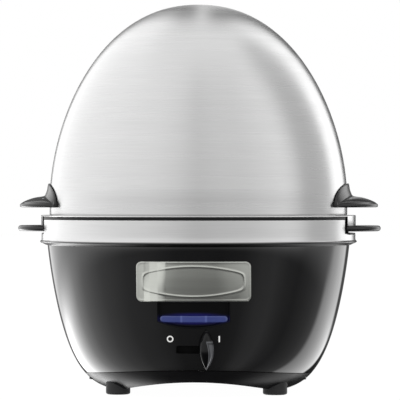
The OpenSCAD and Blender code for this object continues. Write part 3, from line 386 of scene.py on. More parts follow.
# Compression moulded: hard and half glossy
handlePhenolic = mouldedPlastic("mouldedBlackPhenolic", "#060607", 0.26, grain=0.8, depth=0.004, shine=0.45)
knobPlastic = leverPlastic()
# Vulcanised and cast rubbers: no shine, one with a rough grain
footRubber = mouldedPlastic("blackNitrileRubber", "#19191a", 0.7, grain=0.4, depth=0.03)
sealSilicone = mouldedPlastic("redSiliconeRubber", "#8e2f22", 0.55, grain=0.5)
# Drawn tube, browned by heat: dull, with coarse marks
sheathSteel = brushedSteel("oxidisedHeaterSheath", "#6d655c", 0.45, lineSpacing=1.2, path=False)
# Fired and glazed: a smooth, wavy gloss
ceramic = mouldedPlastic("glazedSteatiteCeramic", "#e8e2d2", 0.25, grain=1.4)
thermostatCase = mouldedPlastic("brownPhenolicThermostat", "#4a3226", 0.4)
# Braided: a rough, dull surface
fuseSleeve = mouldedPlastic("glassFibreFuseSleeve", "#d8cfae", 0.6, grain=0.4, depth=0.05)
# Cast: the smoothest of the small parts
ledEpoxy = mouldedPlastic("clearEpoxyLamp", "#dfe6f6", 0.1, grain=2.0)
# Pressed laminate under a lacquer: half glossy
boardGreen = mouldedPlastic("greenGlassEpoxyBoard", "#1e5b36", 0.35, grain=0.5)
# Plain injection-moulded and extruded parts: a satin look
partBlack = mouldedPlastic("blackPbtHousing", "#161617", 0.4, grain=0.5)
sleeveBlue = mouldedPlastic("blueShrinkSleeve", "#2c3f78", 0.3, grain=1.0)
nylonIvory = mouldedPlastic("ivoryNylon", "#ddd8c6", 0.45)
wireSleeve = mouldedPlastic("siliconeWireSleeve", "#7d3b2a", 0.45)
slotBlack = mouldedPlastic("mattBlackAcetal", "#050505", 0.6, grain=0.5, shine=0.2)
# Pad-printed ink: flat white
legendWhite = mouldedPlastic("whitePadPrintInk", "#f1f1ef", 0.4, grain=0.3)
lensBlue = lensAcrylic()

nodeFinish = {
    steelLid: ["lid_dome"],
    steelRim: ["rim_band", "tray_pan"],
    steelBadge: ["nameplate"],
    steelPlate: ["heating_plate", "element_clamp", "heat_shield", "thermostat_bracket", "fuse_clip",
                 "lid_handle_plates"],
    zincSteel: ["cover_screws", "collar_screws", "plate_studs", "stud_nuts", "thermostat_screws",
                "nameplate_nuts", "board_screws", "bracket_screws", "clamp_screws", "tray_rivets",
                "lid_handle_screws"],
    glossShell: ["base_shell", "indicator_bezel"],
    satinCover: ["bottom_cover", "cord_gland"],
    satinCollar: ["rim_collar"],
    handlePhenolic: ["tray_handle_left", "tray_handle_right", "lid_handle_left", "lid_handle_right"],
    knobPlastic: ["switch_knob"],
    footRubber: ["rubber_feet"],
    sealSilicone: ["plate_seal"],
    sheathSteel: ["heating_element"],
    ceramic: ["element_bushings"],
    thermostatCase: ["thermostat"],
    fuseSleeve: ["thermal_fuse"],
    ledEpoxy: ["indicator_leds"],
    boardGreen: ["control_board"],
    partBlack: ["buzzer", "switch_body", "switch_bracket", "cord_clamp"],
    slotBlack: ["switch_slider"],
    sleeveBlue: ["board_capacitor"],
    nylonIvory: ["board_connector", "terminal_block", "switch_stem"],
    legendWhite: ["switch_legends"],
    wireSleeve: ["inner_wires"],
    lensBlue: ["indicator_lens"],
}
for finish, names in nodeFinish.items():
    for name in names:
        body = nodes[name].data
        body.materials.clear()
        body.materials.append(finish)
print("materials ready")


# Meshes

def outward(points, quads, triangles):
    # Signed volume: a third of the sum of corner . (corner x corner); negative means inside out.
    fans = np.vstack([quads[:, [0, 1, 2]], quads[:, [0, 2, 3]], triangles])
    a, b, c = points[fans[:, 0]], points[fans[:, 1]], points[fans[:, 2]]
    if np.einsum("ij,ij->", a, np.cross(b, c)) < 0:
        return quads[:, ::-1], triangles[:, ::-1]
    return quads, triangles


def skin(grid, around=True):
    # grid[section, ring] is a place; rings are closed loops, and sections run round or end in caps.
    sections, ring = grid.shape[:2]
    index = np.arange(sections * ring).reshape(sections, ring)
    flat = np.ptp(grid, axis=0).max(axis=-1) < 1e-9       # a ring point that never moves is a pole
    index[:, flat] = index[0, flat]
    rows = np.vstack([index, index[:1]]) if around else index
    rows = np.hstack([rows, rows[:, :1]])
    quads = np.stack([rows[:-1, :-1], rows[:-1, 1:], rows[1:, 1:], rows[1:, :-1]], -1).reshape(-1, 4)
    if not around:
        k = np.arange(ring // 2 - 1)
        cap = np.stack([k, k + 1, ring - 2 - k, ring - 1 - k], -1)
        quads = np.vstack([quads, cap[:, ::-1], cap + (sections - 1) * ring])
    front, back = quads[:, 0] == quads[:, 3], quads[:, 1] == quads[:, 2]
    triangles = np.vstack([quads[front & ~back][:, [0, 1, 2]], quads[back & ~front][:, [0, 1, 3]]])
    quads = quads[~front & ~back]
    used, place = np.unique(np.concatenate([quads.ravel(), triangles.ravel()]), return_inverse=True)
    quads, triangles = place[:quads.size].reshape(-1, 4), place[quads.size:].reshape(-1, 3)
    points = grid.reshape(-1, 3)[used]
    return (points, *outward(points, quads, triangles))


def joined(*skins):
    # Several closed skins as one
    points, quads, triangles, start = [], [], [], 0
    for p, q, t in skins:
        points.append(p)
        quads.append(q + start)
        triangles.append(t + start)
        start += len(p)
    return np.vstack(points), np.vstack(quads), np.vstack(triangles)


def turned(outline, turns=256, centre=(0, 0)):
    # A closed outline of (radius, height) carried once round an upright axis.
    angle = 2 * pi * np.arange(turns) / turns
    r, z = np.array(outline, float).T
    grid = np.stack([centre[0] + np.outer(np.cos(angle), r), centre[1] + np.outer(np.sin(angle), r),
                     np.tile(z, (turns, 1))], -1)
    return skin(grid)


def rounded(outline, times=2, cut=0.25):
    # Cuts every corner of a closed outline at a quarter of its sides, again and again.
    p = np.array(outline, float)
    for _ in range(times):
        after = np.roll(p, -1, axis=-2)
        p = np.stack([p * (1 - cut) + after * cut, p * cut + after * (1 - cut)], axis=-2)
        p = p.reshape(*p.shape[:-3], -1, p.shape[-1])
    return p


def meshOf(name, shape):
    points, quads, triangles = shape
    mesh = bpy.data.meshes.new(name)
    mesh.from_pydata((points * mm).tolist(), [], quads.tolist() + triangles.tolist())
    return mesh


def cutMesh(mesh, shapes):
    # Exact boolean difference of closed shapes, one at a time
    target = bpy.data.objects.new("target", mesh)
    scene.collection.objects.link(target)
    knives = []
    for i, shape in enumerate(shapes):
        knife = bpy.data.objects.new("knife%d" % i, meshOf("knife", shape))
        scene.collection.objects.link(knife)
        cut = target.modifiers.new("cut", "BOOLEAN")
        cut.operation, cut.solver, cut.object = "DIFFERENCE", "EXACT", knife
        knives.append(knife)
    seen = target.evaluated_get(bpy.context.evaluated_depsgraph_get())
    result = bpy.data.meshes.new_from_object(seen)
    for thing in [target, *knives]:
        bpy.data.objects.remove(thing)
    return result


def addPiece(name, shape, body, finish, replaced=(), cuts=(), sharp=32, grain=None):
    mesh = meshOf(name, shape)
    if cuts:
        mesh = cutMesh(mesh, cuts)
        mesh.name = name
    mesh.shade_smooth()
    mesh.set_sharp_from_angle(angle=radians(sharp))
    mesh.materials.clear()
    mesh.materials.append(finish)
    if grain is not None:
        places = np.empty(len(mesh.vertices) * 3)
        mesh.vertices.foreach_get("co", places)
        path = mesh.attributes.new("grainPath", "FLOAT_VECTOR", "POINT")
        path.data.foreach_set("vector", grain(places.reshape(-1, 3) / mm).astype(np.float32).ravel() * mm)
    piece = bpy.data.objects.new(name, mesh)
    scene.collection.objects.link(piece)
    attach(piece, body)
    if replaced:
        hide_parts(*replaced)
    return piece


def prismShape(outline, start, end, axis=1):
    # A closed outline pushed along Y, or along Z with axis 2; its points pair up from both ends.
    flat = np.array(outline, float)
    return skin(np.stack([np.insert(flat, axis, level, axis=1) for level in (start, end)]), around=False)


def spun(shape, degrees):
    # Turned about the upright axis
    points, quads, triangles = shape
    a = radians(degrees)
    matrix = np.array([[np.cos(a), np.sin(a), 0], [-np.sin(a), np.cos(a), 0], [0, 0, 1]])
    return points @ matrix, quads, triangles


def upright(shape, y, z, x=0):
    # A shape turned on an upright axis, laid down along Y and moved to its place
    points, quads, triangles = shape
    return np.stack([points[:, 0] + x, points[:, 2] + y, z - points[:, 1]], -1), quads, triangles


def solve(function, low, high, steps=40):
    # Halves the interval where a rising function passes zero, for a whole array at once.
    for _ in range(steps):
        middle = (low + high) / 2
        over = function(middle) > 0
        low, high = np.where(over, low, middle), np.where(over, middle, high)
    return (low + high) / 2


# Lid

lid = {"radius": 89.9, "foot": 105.75, "wall": 9.8, "dome": 117.2, "sheet": 0.8, "roundness": 0.9116,
       "rise": 1.1179, "footRound": 0.4, "holeRadius": 2, "holeHeight": 206.54, "holeSpread": 9,
       "drillFrom": 20, "drillLength": 80}


def domeLine(inset, rows):
    # radius = r cos(a)^roundness, height = spring + h sin(a)^rise, from the crown down to the foot
    a = np.linspace(pi / 2, 0, rows)
    spring = lid["foot"] + lid["wall"]
    r = (lid["radius"] - inset) * np.cos(a).clip(0, 1) ** lid["roundness"]
    z = spring + (lid["dome"] - inset) * np.sin(a) ** lid["rise"]
    r[0] = 0
    wall = np.linspace(spring, lid["foot"] + lid["footRound"], 10)[1:]
    return np.vstack([np.stack([r, z], -1), np.stack([np.full_like(wall, lid["radius"] - inset), wall], -1)])


def grainRound(outline):
    # Grain runs round the axis: slow across x and y, fast along the outline's own length.
    step = np.hypot(*np.diff(outline, axis=0).T)
    length = np.concatenate([[0], np.cumsum(step)])
    order = np.argsort(outline[:, 1])

    def path(places):
        along = np.interp(places[:, 2], outline[order, 1], length[order])
        return np.stack([places[:, 0] * 0.012, places[:, 1] * 0.012, along], -1)
    return path


def steamCut(x):
    radius, length = lid["holeRadius"], lid["drillLength"]
    drill = turned([(0, 0), (radius, 0), (radius, length), (0, length)], 32)
    return upright(drill, lid["drillFrom"], lid["holeHeight"], x)


lidOutside, lidInside = domeLine(0, 150), domeLine(lid["sheet"], 80)
lidFoot = np.array([[lid["radius"] - 0.15, lid["foot"] + 0.1], [lid["radius"] - 0.4, lid["foot"]],
                    [lid["radius"] - 0.65, lid["foot"] + 0.1]])
lidShape = turned(np.vstack([lidOutside, lidFoot, lidInside[::-1]]), 288)
steamCuts = [steamCut(x) for x in (-lid["holeSpread"], 0, lid["holeSpread"])]
addPiece("lidDome", lidShape, "lid", steelLid, ["lid_dome"], steamCuts,
         grain=grainRound(lidOutside))
print("lid ready")

# Steel band

band = {"radius": 94.8, "sheet": 0.8, "bottom": 90.3, "top": 103.3, "lip": 95.7, "lipLow": 87.8,
        "shell": 91.2, "notchHalf": 19.2, "notchFloor": 94.1, "turn": 3.4}


def wedgeShape(half, z0, z1, r0=80, r1=110, corner=0.8):
    # A block between two angles about +X, with its two lower corners rounded
    angle = np.linspace(-half, half, 9)
    drop = corner * (1 - np.sqrt(1 - (np.abs(np.linspace(-1, 1, 9)) > 0.99)))
    rows = []
    for a, low in zip(np.radians(angle), z0 + drop):
        rows.append([[r0 * np.cos(a), r0 * np.sin(a), low], [r1 * np.cos(a), r1 * np.sin(a), low],
                     [r1 * np.cos(a), r1 * np.sin(a), z1], [r0 * np.cos(a), r0 * np.sin(a), z1]])
    return skin(np.array(rows), around=False)


def bandOutline():
    # Up the inside, over the top edge, down the outside and in under the flared lip
    radius, inside, shell = band["radius"], band["radius"] - band["sheet"], band["shell"]
    bottom, top, lip, lipLow = band["bottom"], band["top"], band["lip"], band["lipLow"]
    return np.array([
        (inside, bottom - 1), (inside, top - 0.3), (inside + 0.25, top), (radius - 0.3, top),
        (radius, top - 0.35), (radius, top - 3), (radius, top - 6), (radius, bottom + 3.5),
        (radius, bottom + 1.2), (radius + 0.15, bottom + 0.55), (radius + 0.6, bottom + 0.15),
        (lip - 0.2, bottom - 0.1), (lip, bottom - 0.4), (lip - 0.15, bottom - 0.8), (lip - 0.8, bottom - 1.2),
        (shell + 2.2, lipLow + 0.7), (shell + 1.1, lipLow + 0.1), (shell + 0.6, lipLow),
        (shell + 0.4, lipLow + 0.2)])


bandLine = bandOutline()
notch = wedgeShape(band["notchHalf"], band["notchFloor"], band["top"] + 1)
bandCuts = [spun(notch, side * 180 - band["turn"]) for side in (0, 1)]
addPiece("steelBand", turned(bandLine, 288), "base", steelRim, ["rim_band"], bandCuts,
         grain=grainRound(bandLine))
print("band ready")
print("band ready")

# Bowl of the base, its cover and what sits in its front

bowl = {"radius": 91.2, "top": 88, "depth": 88.25, "roundness": 0.29, "fall": 1.78, "wall": 2.6,
        "seamFront": 16.4, "seamSide": 11.4, "seamReach": 0.757, "gap": 0.2, "coverWall": 2.4,
        "coverLift": 2.2, "archTop": 9.2, "archRadius": 160}


def bowlAt(a, inset=0):
    # radius = (R - inset) cos(a)^roundness, height = top - (depth - inset) sin(a)^fall
    return ((bowl["radius"] - inset) * np.cos(a) ** bowl["roundness"],
            bowl["top"] - (bowl["depth"] - inset) * np.sin(a) ** bowl["fall"])


def bowlRadius(z, inset=0):
    # The same surface, asked for its radius at a height
    sine = ((bowl["top"] - z) / (bowl["depth"] - inset)).clip(0, 1) ** (1 / bowl["fall"])
    return (bowl["radius"] - inset) * (1 - sine ** 2) ** (bowl["roundness"] / 2)


def seamHeight(x, drop=0):
    # A large circle through the seam's front height and, further out, its side height
    rise = bowl["seamFront"] - bowl["seamSide"]
    reach = bowl["radius"] * bowl["seamReach"]
    r = (reach ** 2 + rise ** 2) / (2 * rise)
    return bowl["seamFront"] - drop - r + np.sqrt(r ** 2 - x ** 2)


def archHeight(x, lift=0):
    # The arch between the feet, flattened where it meets the lowest level
    r = bowl["archRadius"]
    return np.maximum(bowl["archTop"] - r + np.sqrt(r ** 2 - x ** 2), bowl["coverLift"]) + lift


def bowlSheet(angle, start, end, rows, inset):
    # Rows of places on the bowl between two slopes, for each angle round the axis
    t = np.linspace(0, 1, rows)
    a = start[:, None] + (end - start)[:, None] * t
    r, z = bowlAt(a, inset)
    return np.stack([r * np.cos(angle)[:, None], r * np.sin(angle)[:, None], z], -1)


def slopeAt(angle, height, inset):
    # The slope at which the bowl comes down to a height that depends on x
    def below(a):
        r, z = bowlAt(a, inset)
        return height(r * np.cos(angle)) - z
    return solve(below, np.full_like(angle, 0.01), np.full_like(angle, 1.565))


bowlAngles = 2 * pi * np.arange(320) / 320


def shellShape():
    # The outside and the inside from the rim down to the seam
    rim = np.zeros_like(bowlAngles)
    outerSeam, innerSeam = [slopeAt(bowlAngles, seamHeight, inset) for inset in (0, bowl["wall"])]
    return skin(np.concatenate([bowlSheet(bowlAngles, rim, outerSeam - 0.003, 110, 0),
                                bowlSheet(bowlAngles, rim, innerSeam, 50, bowl["wall"])[:, ::-1]], axis=1))


front = {"plateWidth": 66, "plateHeight": 23.3, "plateZ": 68.2, "plateThick": 1.2, "plateCorner": 3.3,
         "bevel": 0.35, "bevelRise": 0.3, "beadRise": 0.06, "frameHalfWidth": 28.9, "frameHalfHeight": 8.4,
         "frameEnds": 0.52, "frameRise": 0.24, "frameCorner": 1.1, "frameWidth": 0.5, "frameShift": 0.2,
         "bezelHalf": 20.8, "bezelTop": 56.25, "bezelSide": 45.1, "bezelLow": 41.25, "bezelPlay": 0.1,
         "recess": 2.2, "lensWidth": 39, "lensHeight": 3.9, "lensZ": 46.6, "slotHalf": 10.3,
         "slotHalfHeight": 2.3, "slotZ": 28.9, "cutFrom": -100, "windowCut": -70, "slotCut": -60}


def bezelLine(half, top, low, side, steps=25):
    # Upright sides, a flat top and a bowed foot
    x = np.linspace(-half, half, steps)
    foot = low + (side - low) * (x / half) ** 2
    return np.concatenate([np.stack([x, np.full_like(x, top)], -1), np.stack([x, foot], -1)[::-1]])


def frontCuts():
    # The indicator's window and the lever's slot
    f, play = front, front["bezelPlay"]
    window = bezelLine(f["bezelHalf"] + play, f["bezelTop"] + play, f["bezelLow"] - play, f["bezelSide"] - play)
    half, top, low = f["slotHalf"], f["slotZ"] + f["slotHalfHeight"], f["slotZ"] - f["slotHalfHeight"]
    slot = rounded([(-half, top), (half, top), (half, low), (-half, low)], 2, 0.06)
    return [prismShape(window, f["cutFrom"], f["windowCut"]),
            prismShape(np.roll(slot, 1, axis=0), f["cutFrom"], f["slotCut"])]


gland = {"seat": 76.2, "z": 34, "flange": 12.1, "neck": 8.1, "boss": 13.9, "cut": 20, "thick": 4}


def glandRing(inner, outer, length, start):
    ring = turned([(inner, 0), (outer, 0), (outer, length), (inner, length)], 64)
    return upright(ring, start, gland["z"])


seatCut = glandRing(0, gland["flange"], gland["cut"], gland["seat"])
boss = glandRing(gland["neck"], gland["boss"], gland["thick"], gland["seat"] - gland["thick"])
addPiece("bowlShell", shellShape(), "base", glossShell, ["base_shell"],
         [*frontCuts(), seatCut])
addPiece("glandSeat", boss, "base", glossShell)


def underside(sheetEdge, lift, rows=40):
    # From the foot of the wall in to the middle, following the arch
    k = np.linspace(1, 0, rows)[1:]
    x, y = sheetEdge[:, 0, None] * k, sheetEdge[:, 1, None] * k
    return np.stack([x, y, archHeight(x, lift)], -1)


def coverShape():
    # Two layers from the seam down the wall and in along the arch
    layers = []
    for inset, rows in ((0, 30), (bowl["coverWall"], 16)):
        seam = slopeAt(bowlAngles, lambda x: seamHeight(x, bowl["gap"]), inset)
        low = slopeAt(bowlAngles, lambda x: archHeight(x, inset), inset)
        side = bowlSheet(bowlAngles, seam, np.maximum(low, seam + 0.002), rows, inset)
        layers.append(np.concatenate([side, underside(side[:, -1], inset)], axis=1))
    return skin(np.concatenate([layers[0], layers[1][:, ::-1]], axis=1))


cover = {"ventHalf": 1.2, "ventHalfLength": 18, "ventReach": 24, "ventStep": 6, "cutLow": -1, "cutHigh": 20,
         "wellX": 59.8, "wellY": 16, "wellRadius": 3.4, "wellCut": 9.5, "wellOut": 5.2, "wellLow": 7.6,
         "wellSeat": 10, "wellTop": 11.5, "screwRadius": 1.7}


def ventAt(x):
    half, reach = cover["ventHalf"], cover["ventHalfLength"]
    line = rounded([(x - half, -reach), (x + half, -reach), (x + half, reach), (x - half, reach)])
    return prismShape(np.roll(line, 2, axis=0), cover["cutLow"], cover["cutHigh"], axis=2)


def wellsOf(outline):
    # The same turned shape at each of the four screws
    return [turned(outline, 40, (cover["wellX"] * i, cover["wellY"] * j)) for i in (-1, 1) for j in (-1, 1)]


vents = [ventAt(x) for x in range(-cover["ventReach"], cover["ventReach"] + 1, cover["ventStep"])]
cutLow, cutTop, wellIn, wellOut, low, seat, wellTop, screwIn = [cover[key] for key in (
    "cutLow", "wellCut", "wellRadius", "wellOut", "wellLow", "wellSeat", "wellTop", "screwRadius")]
screwWells = wellsOf([(0, cutLow), (wellIn, cutLow), (wellIn, cutTop), (0, cutTop)])
wellWalls = wellsOf([(wellIn, low), (wellOut, low), (wellOut, wellTop), (screwIn, wellTop),
                     (screwIn, seat), (wellIn, seat)])
addPiece("bottomCover", coverShape(), "base", satinCover, ["bottom_cover"],
         vents + screwWells)
addPiece("screwWells", joined(*wellWalls), "base", satinCover)
print("base ready")


def frontPatch(x, z, outer, inner):
    # Two layers over a grid of x and z on the front of the bowl, at their own insets, closed at the edge.
    def layer(inset):
        return np.stack([x, -np.sqrt(bowlRadius(z, inset) ** 2 - x ** 2), z], -1)
    return skin(np.concatenate([layer(outer), layer(inner)[:, ::-1]], axis=1), around=False)


def roundedField(width, height, corner, columns, rows):
    # A square grid on a rectangle, whose corner squares are pressed into quarter discs:
    # p sqrt(1 - q^2 / 2) and q sqrt(1 - p^2 / 2). Also gives the distance from the edge.
    u, v = np.meshgrid(np.linspace(-1, 1, columns), np.linspace(-1, 1, rows), indexing="ij")
    x, z = u * width / 2, v * height / 2
    p = ((np.abs(x) - width / 2 + corner) / corner).clip(0, 1)
    q = ((np.abs(z) - height / 2 + corner) / corner).clip(0, 1)
    inCorner = (p > 0) & (q > 0)
    newX = np.sign(x) * (width / 2 - corner + corner * p * np.sqrt(1 - q ** 2 / 2))
    newZ = np.sign(z) * (height / 2 - corner + corner * q * np.sqrt(1 - p ** 2 / 2))
    x, z = np.where(inCorner, newX, x), np.where(inCorner, newZ, z)
    dx, dz = np.abs(x) - width / 2 + corner, np.abs(z) - height / 2 + corner
    fromEdge = corner - np.where((dx > 0) & (dz > 0), np.hypot(dx, dz), np.maximum(dx, dz))
    return x, z, fromEdge


def step(v):
    v = v.clip(0, 1)
    return v * v * (3 - 2 * v)


def nameplateShape():
    # A plate with a bevelled edge, a faint bead inside it and a raised barrel-shaped frame
    f = front
    x, z, inFrom = roundedField(f["plateWidth"], f["plateHeight"], f["plateCorner"], 260, 96)
    bow = 1 - (1 - f["frameEnds"]) * (x / f["frameHalfWidth"]) ** 2
    barrel = np.abs(z) - f["frameHalfHeight"] * bow
    ends = np.abs(x) - f["frameHalfWidth"]
    corner = f["frameCorner"]
    nearFrame = corner * np.logaddexp(barrel / corner, ends / corner) - f["frameShift"]
    bevel = f["bevelRise"] * step(inFrom / f["bevel"])
    bead = f["beadRise"] * (step(inFrom / 0.4) - step((inFrom - 0.9) / 0.8))
    frame = f["frameRise"] * np.exp(-(nearFrame / f["frameWidth"]) ** 2)
    rise = f["plateThick"] - f["bevel"] + bevel + bead + frame
    return frontPatch(x, z + f["plateZ"], -rise * step(inFrom / 0.2 + 0.25), np.full_like(x, 0.1))


def grainAcross(places):
    # Grain along x and y: slow across them, fast up the piece
    return np.stack([places[:, 0] * 0.012, places[:, 1] * 0.012, places[:, 2]], -1)


def recessShape():
    # A hollow with a softly sunk edge, open at the top under the nameplate
    f = front
    u, v = np.meshgrid(np.linspace(-1, 1, 150), np.linspace(0, 1, 60), indexing="ij")
    x = f["bezelHalf"] * u
    low = f["bezelLow"] + (f["bezelSide"] - f["bezelLow"]) * u ** 2
    z = low + (f["bezelTop"] - low) * v
    inFrom = np.minimum(np.minimum(f["bezelHalf"] - np.abs(x), f["bezelTop"] + 3 - z), z - low)
    return frontPatch(x, z, 0.3 + (f["recess"] - 0.3) * step((inFrom - 0.25) / 1.3), np.full_like(x, 5.0))


def windowShape():
    # A bar with round ends, whose edge falls away as a quarter circle
    f, height = front, front["lensHeight"]
    x, z, inFrom = roundedField(f["lensWidth"], height, height / 2 - 0.01, 180, 24)
    edge = 1 - np.sqrt(1 - (1 - (inFrom / 0.9).clip(0, 1)) ** 2)
    return frontPatch(x, z + f["lensZ"], 1.0 + 0.7 * edge, np.full_like(x, 4.5))


addPiece("nameplatePanel", nameplateShape(), "base", steelBadge, ["nameplate"], sharp=50,
         grain=grainAcross)
addPiece("indicatorRecess", recessShape(), "base", recessBlack, ["indicator_bezel"],
         sharp=60)
addPiece("indicatorWindow", windowShape(), "base", lensBlue, ["indicator_lens"], sharp=60)
print("front panel ready")


# Lid handles

lidHandle = {"inner": 89.95, "outer": 92.2, "base": 110.35, "height": 14.6, "halfWidth": 38, "reach": 108.4,
             "fullness": 0.8, "rootHeight": 6.6, "tipHeight": 2.5, "fillet": 2.6, "turn": 1.2}


def lugReach(angle, reach, corner, halfWidth):
    # Distance of a round-ended lug's edge from the axis: c cos(a) + sqrt(r^2 - c^2 sin^2(a))
    out = reach - corner
    r = (halfWidth ** 2 + out ** 2) / (2 * out)
    c = reach - r
    return c * np.cos(angle) + np.sqrt(np.maximum(r ** 2 - (c * np.sin(angle)) ** 2, 0))


def aroundAxis(angle, ring):
    # Rings of (radius, height), one for each angle, set up round the axis
    r, z = ring[..., 0], ring[..., 1]
    return np.stack([r * np.cos(angle)[:, None], r * np.sin(angle)[:, None], z], -1)


def lidHandleShape():
    h = lidHandle
    # Sections close up towards the two ends
    t = np.sin(np.linspace(-pi / 2, pi / 2, 121))
    across = h["halfWidth"] * t * 0.9995
    angle = np.arcsin(across / (h["outer"] - 1.3))
    share = (np.abs(across) / h["halfWidth"]) ** (1 / h["fullness"])
    top = h["base"] + h["height"] * np.sqrt(1 - share ** 2) ** h["fullness"]
    corner = np.sqrt(lid["radius"] ** 2 - h["halfWidth"] ** 2)
    tip = np.maximum(lugReach(angle, h["reach"], corner, h["halfWidth"]), h["outer"] + 0.05)
    wing = tip - h["outer"]
    k = (wing / wing.max()) ** 0.6
    root = np.minimum(h["rootHeight"] * (0.25 + 0.75 * k), (top - h["base"]) * 0.6)
    inner, outer, low, tall = h["inner"], h["outer"], h["base"], top - h["base"]
    fillet = np.minimum(h["fillet"] * k, wing * 0.4)
    thin = np.minimum(h["tipHeight"], root * 0.8)
    soft = np.minimum(0.7, tall * 0.2)
    one = np.ones_like(angle)

    def at(radius, height):
        return np.stack([radius * one, height * one], -1)

    def onWing(part, drop):
        # Convex top of the wing: it falls slowly at first and faster near the tip
        return at(outer + fillet + (wing - fillet) * part, low + root - (root - thin) * drop)
    ring = [at(inner, low), at(inner, low + tall * 0.5), at(inner, top - soft), at(inner + 0.3, top),
            at(inner + 0.8, top - soft * 0.3), at(inner + 1.15, top - soft * 1.6),
            at(outer - 0.7, low + root + (tall - root) * 0.5),
            at(outer - 0.1, np.minimum(low + root + fillet, top - soft * 2)),
            at(outer + fillet * 0.25, low + root + fillet * 0.2),
            onWing(0, 0), onWing(0.3, 0.12), onWing(0.6, 0.42), onWing(0.85, 0.78),
            at(tip - np.minimum(0.9, wing * 0.2), low + thin), at(tip, low + thin * 0.75),
            at(tip, low + thin * 0.25), at(tip - np.minimum(0.6, wing * 0.2), low),
            at(outer + wing * 0.5, low), at(outer, low), at(inner + 1, low)]
    return skin(aroundAxis(angle, rounded(np.stack(ring, axis=1))), around=False)


for side, (name, node) in enumerate((("lidHandleRight", "lid_handle_right"),
                                     ("lidHandleLeft", "lid_handle_left"))):
    addPiece(name, spun(lidHandleShape(), side * 180 - lidHandle["turn"]), "lid",
             handlePhenolic, [node], sharp=60)


# Tray handles

trayHandle = {"inner": 91.0, "low": 96.1, "high": 99.5, "reach": 110, "corner": 91.13, "halfWidth": 26.82,
              "halfAngle": 16.4, "tabHalf": 14, "tabInner": 94.1, "tabTop": 104.2, "turn": 3.4}


def trayHandleShape():
    h = trayHandle
    angle = np.radians(h["halfAngle"]) * np.sin(np.linspace(-pi / 2, pi / 2, 61))
    tip = lugReach(angle, h["reach"], h["corner"], h["halfWidth"])
    low, high, one = h["low"], h["high"], np.ones_like(angle)
    # The rounded edge, as (distance from the tip, height)
    edge = [(-1.6, low), (-0.8, low + 0.2), (-0.25, low + 0.7), (0, low + 1.4), (0, high - 1.4),
            (-0.25, high - 0.7), (-0.8, high - 0.2), (-1.6, high)]
    inner, outer, top = h["inner"], h["tabInner"], h["tabTop"]
    line = [(inner, low), *[(tip + dr, z) for dr, z in edge], (inner, high)]
    ring = np.stack([np.stack([r * one, z * one], -1) for r, z in line], axis=1)
    lug = skin(aroundAxis(angle, ring), around=False)
    angle = np.radians(np.linspace(-h["tabHalf"], h["tabHalf"], 31))
    box = np.array([(inner, high - 1), (outer, high - 1), (outer, top - 0.3), (outer - 0.3, top),
                    (inner + 0.3, top), (inner, top - 0.3)])
    tab = skin(aroundAxis(angle, np.tile(box, (len(angle), 1, 1))), around=False)
    return joined(lug, tab)


for side, (name, node) in enumerate((("trayHandleRight", "tray_handle_right"),
                                     ("trayHandleLeft", "tray_handle_left"))):
    addPiece(name, spun(trayHandleShape(), side * 180 - trayHandle["turn"]), "tray",
             handlePhenolic, [node], sharp=40)
print("handles ready")


# Egg tray

tray = {"floor": 97.2, "sheet": 0.8, "wall": 88.5, "flange": 95.0, "flangeLow": 104.9, "flangeHigh": 105.7,
        "bead": 108.2, "flat": 40, "eggRadius": 17, "eggRing": 65, "eggInner": 22, "eggs": 8, "drain": 2.5,
        "drainRings": (46, 80.9), "cutLow": 90, "cutHigh": 104, "tabHalf": 16.4, "tabLow": 99.5, "turn": 3.4}


def trayOutline():
    # Out along the floor, up the wall, round the flange and the bead, and back down the inside
    floor, wall, flange, bead, flat = [tray[key] for key in ("floor", "wall", "flange", "bead", "flat")]
    low, high = tray["flangeLow"], tray["flangeHigh"]
    inside, floorTop = wall - tray["sheet"], floor + tray["sheet"]
    return np.array([
        (0, floor), (flat, floor), (wall - 2, floor), (wall - 0.6, floor + 0.6), (wall, floor + 2),
        (wall, low - 0.3), (wall + 0.3, low), (flange - 0.25, low), (flange, low + 0.2),
        (flange, high - 0.2), (flange - 0.25, high), (wall + 0.3, high), (wall, high + 0.3),
        (wall, bead - 0.4), (wall - 0.15, bead - 0.1), (wall - 0.4, bead), (wall - 0.65, bead - 0.1),
        (inside, bead - 0.4), (inside, floor + 2.6), (inside - 0.6, floor + 1.3), (inside - 1.9, floorTop),
        (flat, floorTop), (0, floorTop)])


def holeCut(radius, turns, place):
    low, high = tray["cutLow"], tray["cutHigh"]
    return turned([(0, low), (radius, low), (radius, high), (0, high)], turns, place)


def eggRim(place):
    # A raised ring round an egg's hole
    radius, floor = tray["eggRadius"], tray["floor"]
    high = floor + tray["sheet"] + 1
    return turned([(radius, floor), (radius + 1, floor), (radius + 1, high - 0.35),
                   (radius + 0.75, high - 0.05), (radius + 0.25, high - 0.05),
                   (radius, high - 0.35)], 72, place)


def turnTray(shape):
    return spun(shape, -tray["turn"])


def trayTab():
    # A strip of the flange folded down
    angle = np.radians(np.linspace(-tray["tabHalf"], tray["tabHalf"], 41))
    outer, inner = tray["flange"], tray["flange"] - tray["sheet"]
    low, high = tray["tabLow"], tray["flangeHigh"] - 0.2
    box = np.array([(inner, low), (outer - 0.1, low), (outer, low + 0.2), (outer, high), (inner, high),
                    (inner, high - 2)])
    return skin(aroundAxis(angle, np.tile(box, (41, 1, 1))), around=False)


